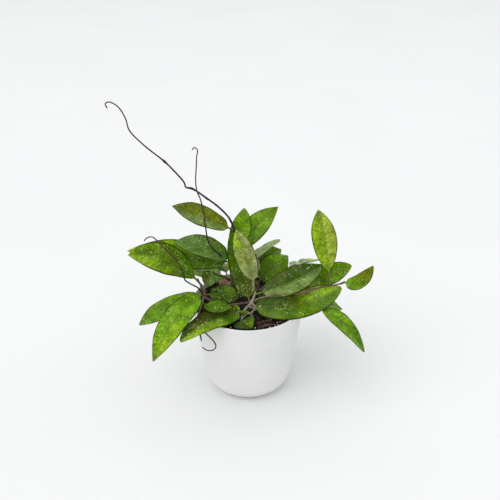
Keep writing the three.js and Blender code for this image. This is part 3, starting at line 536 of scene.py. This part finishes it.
def bark_material():
    """Reddish bark: streaks along the grain, darker cracks, and the painted shade and highlight from the
    piece's tint.
    """
    n = Nodes("bark_skin")
    tint = n.add("Attribute", attribute_name="tint").outputs["Color"]
    stretch = n.add("Mapping")
    n.link(n.place(), stretch.inputs["Vector"])
    stretch.inputs["Scale"].default_value = (1.0, 2.2, 3.0)
    grain = n.noise(240, 6, 0.65, 0.4, stretch.outputs[0])
    fine = n.noise(1600, 4, 0.6)
    colour = n.ramp(grain, [(0.38, (0.025, 0.010, 0.007)), (0.5, (0.10, 0.045, 0.03)),
                            (0.64, (0.27, 0.14, 0.095))])
    # The tint carries the painted shade inside the curl and the painted highlight on its rims.
    colour = n.mix(1.0, colour, tint, "MULTIPLY")
    colour = n.mix(0.6, colour, n.ramp(fine, [(0.3, 0.65), (0.7, 1.3)]), "MULTIPLY")
    height = n.plus(grain, n.times(fine, 0.4))
    return n.finish(colour, n.range(fine, 0.3, 0.7, 0.7, 0.92), n.bump(height, 0.8, 0.0007),
                    Specular_IOR_Level=0.3)


def floor_material():
    """Pale matt floor, faintly clouded, with a painted light falloff: brighter near the middle and greyer
    far away until it meets the background's tone.
    """
    n = Nodes("floor_matt")
    far = n.add("VectorMath", operation="LENGTH")
    n.link(n.place(), far.inputs[0])
    clouds = n.range(n.noise(3, 3, 0.5), 0.3, 0.7, -0.012, 0.012)
    # Painted light falloff: the floor is lighter near the plant and greyer far away.
    tone_and_painted_falloff = n.plus(n.range(far.outputs["Value"], 0.3, 3.2, 0.90, 0.815), clouds)
    tone_and_painted_falloff = n.math("SUBTRACT", tone_and_painted_falloff, n.range(far.outputs["Value"], 4.0, 16.0, 0.0, 0.105))
    colour = n.ramp(tone_and_painted_falloff, [(0.0, (0.0, 0.0, 0.0)), (1.0, (0.994, 0.997, 1.0))])
    return n.finish(colour, 0.85, None, Specular_IOR_Level=0.15)


# ---- Leaves --------------------------

OUTLINE_X = np.array([p[0] for p in OUTLINE], dtype=float)
OUTLINE_Y = np.array([p[1] for p in OUTLINE], dtype=float)
OUTLINE_SLOPE = np.gradient(OUTLINE_Y, OUTLINE_X)


def outline(share):
    """The blade's half width at a share of its length, as a smooth line through OUTLINE."""
    i = min(max(int(np.searchsorted(OUTLINE_X, share)) - 1, 0), len(OUTLINE) - 2)
    step = OUTLINE_X[i + 1] - OUTLINE_X[i]
    t = (share - OUTLINE_X[i]) / step
    a, b = OUTLINE_Y[i], OUTLINE_Y[i + 1]
    m, k = OUTLINE_SLOPE[i] * step, OUTLINE_SLOPE[i + 1] * step
    return hermite(t, a, b, m, k)


def rib_frame(leaf, t):
    """The rib's place and the blade's own directions at a share t of the way from base to tip."""
    base, tip, face = (np.array(leaf[i], dtype=float) for i in (2, 3, 4))
    bow, sway = leaf[5], leaf[6]
    chord = tip - base
    forward = unit(chord)
    up = unit(face - forward * face.dot(forward))
    right = np.cross(forward, up)
    arch, slope = 4 * t * (1 - t), 4 * (1 - 2 * t)
    centre = base + chord * t + up * bow * arch + right * sway * arch
    along = unit(chord + up * bow * slope + right * sway * slope)
    blade_up = unit(up - along * up.dot(along))
    return centre, np.cross(along, blade_up), blade_up


def leaf_points(leaf):
    """A leaf's loops of points, and for each its place on the blade: across, along, top, margin."""
    width, stalk, fold = leaf[0], leaf[1], math.radians(leaf[7])
    peak, full = leaf[8]
    power = math.log(peak) / math.log(0.5)
    length = float(np.linalg.norm(np.subtract(leaf[3], leaf[2])))
    stalk_share = stalk / length
    stalk_radius = BLADE["stalk"] * FINE["slim"]
    columns, rows, stalk_rows = FINE["columns"], FINE["rows"], FINE["stalk_rows"]
    loops, blade = [], []
    v = np.concatenate([np.linspace(-1, 1, columns + 1), np.linspace(1, -1, columns + 1)[1:-1]])
    is_top = np.concatenate([np.ones(columns + 1), np.zeros(columns - 1)])
    is_top[0] = is_top[columns] = 0.5
    count = len(v)
    angle = np.pi - np.arange(count) * 2 * np.pi / count
    stalk_t = [stalk_share * k / stalk_rows for k in range(stalk_rows)]
    shares = [1 - (1 - k / rows) ** 1.15 for k in range(rows + 1)]
    for t, share in [(t, None) for t in stalk_t] + [(None, s) for s in shares]:
        if share is None:
            centre, across, up = rib_frame(leaf, t)
            swell = 1 + FINE["swell"] * math.exp(-(t * length / FINE["swell_reach"]) ** 2)
            radius = stalk_radius * swell
            side, lift = radius * np.cos(angle), radius * np.sin(angle)
            where = -stalk * (1 - t / stalk_share)
        else:
            centre, across, up = rib_frame(leaf, stalk_share + share * (1 - stalk_share))
            half = max(outline(share ** (1 / power)) ** (1 / full) * width / 2, BLADE["tip"])
            a = np.abs(v)
            crease = np.sqrt(a * a + FINE["crease_round"]) - FINE["crease_sink"]
            ripple = np.sin(7 * share + width) * a * v
            flutter = FINE["flutter"] * width * np.sin(21 * share + 3 * v + width) * a * a
            rise = crease * half * math.sin(fold) * (1.3 - 0.3 * a)
            rise += BLADE["wave"] * width * ripple + flutter * min(1, 4 * share, 4 * (1 - share))
            thick = BLADE["rib"] + (BLADE["edge"] - BLADE["rib"]) * a
            thick = thick * np.sqrt(np.clip(1 - a ** 10, 0, 1)) * min(1.0, 0.35 + 1.6 * (1 - share))
            offset = np.where(is_top > 0.5, 0.5, np.where(is_top < 0.5, -0.5, 0)) * thick
            near_rib = np.exp(-(v * half / FINE["rib_reach"]) ** 2)
            offset -= FINE["groove"] * near_rib * (is_top > 0.5) * min(1, 5 * share)
            offset -= FINE["ridge"] * near_rib * (is_top < 0.5) * min(1, 3 * (1 - share))
            side = v * half * math.cos(fold)
            lift = rise + offset
            blend = float(smoothstep(0.0, FINE["widening"], share))
            side = (1 - blend) * stalk_radius * np.cos(angle) + blend * side
            lift = (1 - blend) * stalk_radius * np.sin(angle) + blend * lift
            where = share * (length - stalk)
        loops.append(centre + np.outer(side, across) + np.outer(lift, up))
        blade.append(np.column_stack([side, np.full(count, where), is_top, np.abs(v)]))
    return np.array(loops), np.array(blade), count


def leaf_tint(points, blade, width, length, look, seed):
    """Each point's colour: from the stalk's to the tip's, one half its own (partly painted light and
    shade on that half of the fold), then the underside.
    The fourth value is how near the point is to the margin."""
    near, far, *half = look
    share = np.clip(blade[:, 1] / length, 0, 1)
    v = blade[:, 0] / (width / 2)
    drift = mottle(points, 16, seed)
    blend = smoothstep(0.2, 0.85, share + 0.22 * drift)[:, None]
    colour = PALETTE[near] * (1 - blend) + PALETTE[far] * blend
    # One half of the fold gets its own colour: partly the leaf's own tone, partly painted light and
    # shade.
    if half:
        half_tone_and_painted_light, side = half
        over = smoothstep(-0.08, 0.2, v * side + 0.12 * drift)[:, None] * 0.9
        colour = colour * (1 - over) + PALETTE[half_tone_and_painted_light] * over
    colour = colour * (1 + 0.16 * mottle(points, 7, seed + 3))[:, None]
    under = (blade[:, 2] < 0.4)[:, None]
    colour = np.where(under, 0.45 * colour + 0.55 * PALETTE["under"] * 0.8, colour)
    stalk = smoothstep(0.0, -1.0, blade[:, 1])[:, None]
    colour = colour * (1 - stalk) + (0.65 * PALETTE["mauve"] + 0.35 * PALETTE["moss"]) * stalk
    return np.column_stack([colour, blade[:, 3] * (blade[:, 1] > 0)])


def make_leaf(name, node, leaf, look, material, seed):
    loops, blade, count = leaf_points(leaf)
    points, blade = loops.reshape(-1, 3), blade.reshape(-1, 4)
    length = float(np.linalg.norm(np.subtract(leaf[3], leaf[2]))) - leaf[1]
    tint = leaf_tint(points, blade, leaf[0], length, look, seed)
    blade[:, 1] += STREAK_SHIFT * seed
    faces = ring_faces(len(loops), count)
    new_piece(name, node, points, faces, material, tint, blade[:, :3])


# ---- Vines ---------------------------

def smooth_line(points, step):
    """Places at even steps along the smooth line through the points, and the length so far."""
    p = [np.array(q, dtype=float) for q in points]
    p = [2 * p[0] - p[1]] + p + [2 * p[-1] - p[-2]]
    fine = []
    for i in range(1, len(p) - 2):
        a, b, c, d = p[i - 1], p[i], p[i + 1], p[i + 2]
        d0, d1, d2 = (max(np.linalg.norm(y - x), 1e-6) ** 0.5 for x, y in ((a, b), (b, c), (c, d)))
        m = ((b - a) / d0 - (c - a) / (d0 + d1) + (c - b) / d1) * d1
        k = ((c - b) / d1 - (d - b) / (d1 + d2) + (d - c) / d2) * d1
        fine += [hermite(t, b, c, m, k) for t in np.linspace(0, 1, SPLINE_STEPS, endpoint=False)]
    fine.append(p[-2])
    fine = np.array(fine)
    far = np.concatenate([[0], np.cumsum(np.linalg.norm(np.diff(fine, axis=0), axis=1))])
    count = max(4, int(math.ceil(far[-1] / step)))
    at = np.linspace(0, far[-1], count + 1)
    return np.column_stack([np.interp(at, far, fine[:, i]) for i in range(3)]), at


def run_points(run, seed):
    """A run's loops of points and their colours: a slightly uneven tube, ringed at its joints."""
    sides = 14 if run["radii"][0] > 1.4 else 10
    line, at = smooth_line(run["points"], STEM_STEP)
    length = at[-1]
    side = np.array([0.3, 0.8, 0.5])
    loops, tints = [], []
    first, last = (PALETTE[name] for name in run["look"])
    for i, centre in enumerate(line):
        along = unit(line[min(i + 1, len(line) - 1)] - line[max(i - 1, 0)])
        side = unit(side - along * side.dot(along))
        other = np.cross(along, side)
        t = at[i] / length
        radius = run["radii"][0] + (run["radii"][1] - run["radii"][0]) * t
        knot_near = 0.0
        for knot in run["knots"]:
            away = np.linalg.norm(centre - np.array(knot)) / KNOT_REACH
            knot_near += math.exp(-away * away)
        radius += run["radii"][0] * KNOT_SWELL * knot_near
        off_ring = (at[i] + 9 * seed) % RINGS["spacing"] - RINGS["spacing"] / 2
        ring = math.exp(-(off_ring / RINGS["width"]) ** 2)
        radius *= RINGS["slim"] + RINGS["swell"] * ring
        tail = (length - at[i]) / max(radius, 0.1)
        radius *= math.sqrt(max(0.02, min(1.0, 1 - (1 - min(tail, 1)) ** 2)))
        loop = []
        for k in range(sides):
            angle = 2 * math.pi * k / sides
            lumpy = 1 + 0.09 * noise.noise(Vector((math.cos(angle) * 1.3 + seed * 3.1,
                                                   math.sin(angle) * 1.3, at[i] * 0.33)))
            loop.append(centre + radius * lumpy * (side * math.cos(angle) + other * math.sin(angle)))
        loops.append(loop)
        ripe = smoothstep(0.25, 0.7, t)
        tone = first * (1 - ripe) + last * ripe
        tone = tone * (1 - RINGS["dark"] * ring) * (1 + 0.2 * knot_near)
        tints.append(np.tile(tone, (sides, 1)))
    return np.array(loops).reshape(-1, 3), np.concatenate(tints), len(line), sides


def make_vine(node, material):
    points, tints, faces = [], [], []
    for seed, run in enumerate(VINES[node]):
        run_place, run_tint, rings, sides = run_points(run, seed + 1)
        start = sum(len(p) for p in points)
        faces += [tuple(start + i for i in face) for face in ring_faces(rings, sides)]
        points.append(run_place)
        tints.append(run_tint)
    new_piece(node + "_stems", node, np.concatenate(points), faces, material,
              np.concatenate(tints))


# ---- Pot -----------------------------

def pot_outline(inset):
    """The pot's side from its foot to its rim, moved inwards by "inset"."""
    corner_steps, wall_steps = 24, 16
    turn = math.radians(POT["turn"])
    foot, corner = POT["foot"], POT["corner"]
    wall_foot, wall_start = foot + corner * math.sin(turn), corner * (1 - math.cos(turn))
    line = []
    for i in range(corner_steps + 1):
        angle = turn * i / corner_steps
        line.append((foot + (corner - inset) * math.sin(angle),
                     corner * (1 - math.cos(angle)) + inset * math.cos(angle)))
    for i in range(1, wall_steps + 1):
        t = i / wall_steps
        line.append((wall_foot + (POT["rim"] - wall_foot) * t + POT["belly"] * math.sin(math.pi * t)
                     - inset, wall_start + (POT["height"] - wall_start) * t))
    return line


def lathe(profile, segments):
    """Points and faces of a closed shape turned about Z, its profile from the axis to the axis."""
    points, faces = [(0, 0, profile[0][1])], []
    rings = profile[1:-1]
    for radius, z in rings:
        for k in range(segments):
            angle = 2 * math.pi * k / segments
            points.append((radius * math.cos(angle), radius * math.sin(angle), z))
    points.append((0, 0, profile[-1][1]))
    last = len(points) - 1
    for k in range(segments):
        n = (k + 1) % segments
        faces.append((0, 1 + n, 1 + k))
        for ring in range(len(rings) - 1):
            a, b = 1 + ring * segments, 1 + (ring + 1) * segments
            faces.append((a + k, a + n, b + n, b + k))
        a = 1 + (len(rings) - 1) * segments
        faces.append((last, a + k, a + n))
    return np.array(points, dtype=float), faces


def cut_holes(piece, height):
    """Cuts the drain holes through the pot's floor."""
    radius = POT["hole_radius"] * MM
    for i in range(POT["holes"]):
        angle = (i + 0.5) * 2 * math.pi / POT["holes"]
        mesh = bpy.data.meshes.new("drill")
        work = bmesh.new()
        bmesh.ops.create_cone(work, cap_ends=True, segments=40, radius1=radius, radius2=radius,
                              depth=height * MM)
        work.to_mesh(mesh)
        work.free()
        drill = bpy.data.objects.new("drill", mesh)
        bpy.context.scene.collection.objects.link(drill)
        drill.location = (POT["hole_circle"] * math.cos(angle) * MM,
                          POT["hole_circle"] * math.sin(angle) * MM, 0)
        cut = piece.modifiers.new("hole", "BOOLEAN")
        cut.operation, cut.solver, cut.object = "DIFFERENCE", "EXACT", drill
        bpy.context.view_layer.update()
        done = bpy.data.meshes.new_from_object(piece.evaluated_get(
            bpy.context.evaluated_depsgraph_get()))
        piece.modifiers.clear()
        piece.data = done
        bpy.data.objects.remove(drill)


def make_pot(material):
    rim, height, wall, recess = POT["rim"], POT["height"], POT["wall"], POT["recess"]
    outside = pot_outline(0)
    inside = [p for p in pot_outline(wall) if POT["floor"] < p[1] < height - 1][::-1]
    middle, top = rim - wall / 2, height + POT["rim_round"] - wall / 2
    lip = [(middle + wall / 2 * math.cos(a), top + wall / 2 * math.sin(a))
           for a in np.linspace(0, math.pi, 13)]
    outside = [p for p in outside if p[1] < top - 0.3]
    floor = [(inside[-1][0] - 0.8, POT["floor"] + 0.3), (inside[-1][0] - POT["slope"], POT["floor"])]
    underside = [(0, recess), (2, recess), (POT["foot"] - 6, recess), (POT["foot"] - 4, 0.0)]
    profile = underside + outside + lip + inside + floor + [(0, POT["floor"])]
    points, faces = lathe(profile, POT["segments"])
    piece = new_piece("pot_shell", "pot", points, faces, material)
    cut_holes(piece, POT["floor"] * 3)
    piece.data.shade_smooth()
    piece.data.set_sharp_from_angle(angle=math.radians(35))


# ---- Soil ----------------------------

def soil_relief(x, y):
    radius = math.hypot(x, y) / POT["rim"]
    lumps = math.sin(x * 0.31 + 1.3) * math.cos(y * 0.27) + 0.6 * math.sin(x * 0.71 - y * 0.53)
    return SOIL["mound"] * (1 - radius * radius) + SOIL["roughness"] * lumps


def soil_height(x, y):
    """The loose surface with its finer crumbling."""
    broad = 1.1 * noise.noise(Vector((x, y, 3.0)) * 0.28)
    fine = 0.7 * noise.noise(Vector((x, y, 9.0)) * 0.8)
    return SOIL["level"] + soil_relief(x, y) + (broad + fine)


def soil_radius():
    wall = pot_outline(POT["wall"] + GAP)
    return float(np.interp(SOIL["level"], [z for _, z in wall], [x for x, _ in wall]))


def make_soil(material):
    edge = [p for p in pot_outline(POT["wall"] + GAP) if POT["floor"] + GAP < p[1] < SOIL["level"] - 3]
    radius = soil_radius() - 0.15
    rings, segments = 72, 150
    profile = [(0, POT["floor"] + GAP), (edge[0][0] - POT["slope"], POT["floor"] + GAP)] + edge
    tops = [(radius * (1 - i / rings) ** 0.9, SOIL["level"]) for i in range(rings)]
    points, faces = lathe(profile + tops + [(0, SOIL["level"])], segments)
    for i, (x, y, z) in enumerate(points):
        if z > SOIL["level"] - 0.01:
            points[i][2] = soil_height(x, y)
    new_piece("soil_surface", "soil", points, faces, material)


def lump(source, centre, size, flatness, jag):
    """One angular loose lump."""
    work = bmesh.new()
    bmesh.ops.create_icosphere(work, subdivisions=2, radius=1.0)
    shift = Vector((source.random(), source.random(), source.random())) * 50
    stretch = Vector((1.0, source.uniform(0.6, 0.95), flatness * source.uniform(0.7, 1.1)))
    turn = [source.uniform(-math.pi, math.pi) for _ in range(3)]
    spin = Euler((turn[0] * 0.25, turn[1] * 0.25, turn[2])).to_matrix()
    points = []
    for vert in work.verts:
        push = (1 + jag * noise.noise(vert.co * 1.4 + shift)
                + 0.5 * jag * noise.noise(vert.co * 3.1 + shift))
        p = Vector((vert.co.x * stretch.x, vert.co.y * stretch.y, vert.co.z * stretch.z)) * push
        points.append(np.array(spin @ p) * size + centre)
    faces = [tuple(v.index for v in face.verts) for face in work.faces]
    work.free()
    return points, faces


def scatter(name, material, count, sizes, flatness, jag, seed, sink=0.1, placed=()):
    """Loose lumps spread over the soil, clear of the pot's wall."""
    source = random.Random(seed)
    points, faces = [], []
    reach = soil_radius() - sizes[1] - WALL_CLEAR
    spots = list(placed)
    while len(spots) < count + len(placed):
        angle, away = source.uniform(0, 2 * math.pi), reach * math.sqrt(source.random())
        size = sizes[0] + (sizes[1] - sizes[0]) * source.random() ** 2
        spots.append((away * math.cos(angle), away * math.sin(angle), size))
    for x, y, size in spots:
        centre = np.array([x, y, soil_height(x, y) + size * sink])
        lump_place, lump_faces = lump(source, centre, size, flatness, jag)
        start = len(points)
        points += lump_place
        faces += [tuple(start + i for i in face) for face in lump_faces]
    new_piece(name, None, np.array(points), faces, material)


def bark_ground(bark):
    (x, y), turn, length = bark[0], math.radians(bark[1]), bark[2]
    return max(SOIL["level"] + soil_relief(x + math.cos(turn) * s * length,
                                           y + math.sin(turn) * s * length)
               for s in (-0.5, -0.25, 0, 0.25, 0.5))


def make_bark(name, bark, material):
    """A curled strip of bark with ragged ends, uneven in thickness, with painted shade inside the curl
    and a painted highlight along its rims.
    """
    (x, y), turn, length, radius, sweep, thick, rest = bark
    half, heading = math.radians(sweep) / 2, math.radians(turn)
    steps, slices = 30, 36
    v = np.concatenate([np.linspace(-1, 1, steps + 1), np.linspace(1, -1, steps + 1)])
    outer = np.concatenate([np.ones(steps + 1), np.zeros(steps + 1)])
    height = bark_ground(bark) + radius + rest
    loops, painted_bark_light = [], []
    for i in range(slices + 1):
        s = i / slices
        loop = []
        for value, is_outer in zip(v, outer):
            # Painted light: the inside of the curl gets painted shade, the rims and ends a painted
            # highlight.
            rim = max(smoothstep(0.78, 0.94, abs(value)), smoothstep(0.94, 1, abs(2 * s - 1)))
            painted_bark_light.append((0.75 if is_outer else 0.3) + rim)
            angle = value * half
            end = (s - 0.5) * length * (1 + 0.08 * math.sin(9 * angle) + 0.05 * math.sin(23 * angle))
            lumpy = 1 + 0.05 * noise.noise(Vector((s * length * 0.35, angle * 3, thick)))
            skin = thick * (0.8 + 0.5 * noise.noise(Vector((s * length * 0.5, angle * 2.4, 7))))
            skin *= min(1.0, 0.35 + 3.0 * (1 - abs(value)), 0.35 + 5 * min(s, 1 - s))
            r = radius * lumpy - (0 if is_outer else skin)
            sway = 0.35 * math.sin(s * 4 * 1.7 + length)
            px, py, pz = end, r * math.sin(angle) + sway, -r * math.cos(angle)
            loop.append((x + px * math.cos(heading) - py * math.sin(heading),
                         y + px * math.sin(heading) + py * math.cos(heading), height + pz))
        loops.append(loop)
    points = np.array(loops).reshape(-1, 3)
    count = len(v)
    faces = ring_faces(slices + 1, count, closed_ends=False)
    for k in range(steps):
        a, b, c, d = k, k + 1, count - 2 - k, count - 1 - k
        faces.append((a, d, c, b))
        base = slices * count
        faces.append((base + a, base + b, base + c, base + d))
    new_piece(name + "_strip", name, points, faces, material,
              np.repeat(np.array(painted_bark_light)[:, None], 3, axis=1))


# ---- The plant -----------------------

LEAF_SKINS = {
    "bright": leaf_material("leaf_skin_bright", 0.48, 0.38, 0.06, 0.13),
    "green": leaf_material("leaf_skin_green", 0.46, 0.38, 0.18, 0.2),
    "dark": leaf_material("leaf_skin_dark", 0.56, 0.40, 0.08, 0.07),
    "silver": leaf_material("leaf_skin_silver", 0.60, 0.42, 0.15, 0.20),
}
make_pot(pot_material())
make_soil(soil_material())
stems = stem_material()
for vine in VINES:
    make_vine(vine, stems)
for seed, (name, (leaf, skin, look)) in enumerate(LEAVES.items()):
    make_leaf("hoya_" + name, "leaf_" + name, leaf, look, LEAF_SKINS[skin], seed + 1)
make_leaf("shoot_bud", "young_shoot", YOUNG_SHOOT, ("jade", "grass"),
          LEAF_SKINS["bright"], 91)
make_leaf("withered_leaf", "dry_leaf", DRY_LEAF, ("dry", "dry"),
          lump_material("dry_skin", (0.22, 0.13, 0.08), (0.47, 0.31, 0.21), 0.85, 500), 92)
bark_skin = bark_material()
for name, bark in BARK.items():
    make_bark(name, bark, bark_skin)
crumb_skin = lump_material("crumb_skin", (0.008, 0.006, 0.005), (0.05, 0.033, 0.024), 0.95)
scatter("soil_crumbs", crumb_skin, 620, (0.5, 2.4), 0.75, 0.45, 5)
bit_skin = lump_material("bit_skin", (0.06, 0.03, 0.02), (0.22, 0.12, 0.08), 0.9)
scatter("soil_bark_bits", bit_skin, 90, (0.6, 2.2), 0.4, 0.4, 11)
grain_skin = lump_material("grain_skin", (0.55, 0.53, 0.50), (0.86, 0.85, 0.83), 0.9)
scatter("soil_grains", grain_skin, 46, (0.5, 1.7), 0.85, 0.35, 23, 0.35,
        [(24.5, -50, 1.6), (13, -44, 1.3), (30, -45, 1.1), (33, -41, 0.9), (8, -52, 1.0), (27, -46, 0.8),
         (29, -42, 0.7), (36, -39, 0.8), (34, -44, 0.7), (38, -37, 0.6), (26, -52, 0.7), (41, -34, 0.7),
         (31, -48, 0.6), (22, -45, 0.8), (17, -52, 0.7), (43, -37, 0.7), (12, -49, 0.6)])

# ---- Camera, floor and light ---------
# The focal length is in the image's own pixels, and the camera looks down by CAMERA_DIP degrees.

SENSOR = 36.0
IMAGE_WIDTH = 500
FOCAL_LENGTH = 704
CAMERA_PLACE = (0.0024, -0.700, 0.548)
CAMERA_DIP = 27.8
FLOOR_HALF = 30.0

scene = bpy.context.scene
camera_data = bpy.data.cameras.new("camera")
camera_data.sensor_width = SENSOR
camera_data.lens = FOCAL_LENGTH / IMAGE_WIDTH * SENSOR
camera_data.clip_end = 100
camera = bpy.data.objects.new("camera", camera_data)
camera.location = CAMERA_PLACE
camera.rotation_euler = (math.radians(90 - CAMERA_DIP), 0, 0)
scene.collection.objects.link(camera)
scene.camera = camera

floor_mesh = bpy.data.meshes.new("floor")
corners = [(x * FLOOR_HALF, y * FLOOR_HALF, 0) for x, y in ((-1, -1), (1, -1), (1, 1), (-1, 1))]
floor_mesh.from_pydata(corners, [], [(0, 1, 2, 3)])
floor_mesh.materials.append(floor_material())
floor = bpy.data.objects.new("floor", floor_mesh)
scene.collection.objects.link(floor)

world = bpy.data.worlds.new("studio")
scene.world = world
world.use_nodes = True
back = world.node_tree.nodes["Background"]
back.inputs["Color"].default_value = (0.975, 0.985, 1.0, 1)
back.inputs["Strength"].default_value = 0.77


def wide_light(name, toward, strength, spread, colour):
    """A far, wide light, its rays going the way of "toward". "spread" is in degrees."""
    data = bpy.data.lights.new(name, "SUN")
    data.energy = strength
    data.angle = math.radians(spread)
    data.color = colour
    light = bpy.data.objects.new(name, data)
    light.rotation_euler = Vector(toward).to_track_quat("-Z", "Y").to_euler()
    scene.collection.objects.link(light)


wide_light("key", (0.60, 0.42, -1.0), 0.87, 60, (1.0, 0.99, 0.965))
wide_light("top", (0.12, -0.75, -1.0), 0.35, 60, (1.0, 1.0, 1.0))

scene.view_settings.view_transform = "Standard"
scene.view_settings.look = "None"
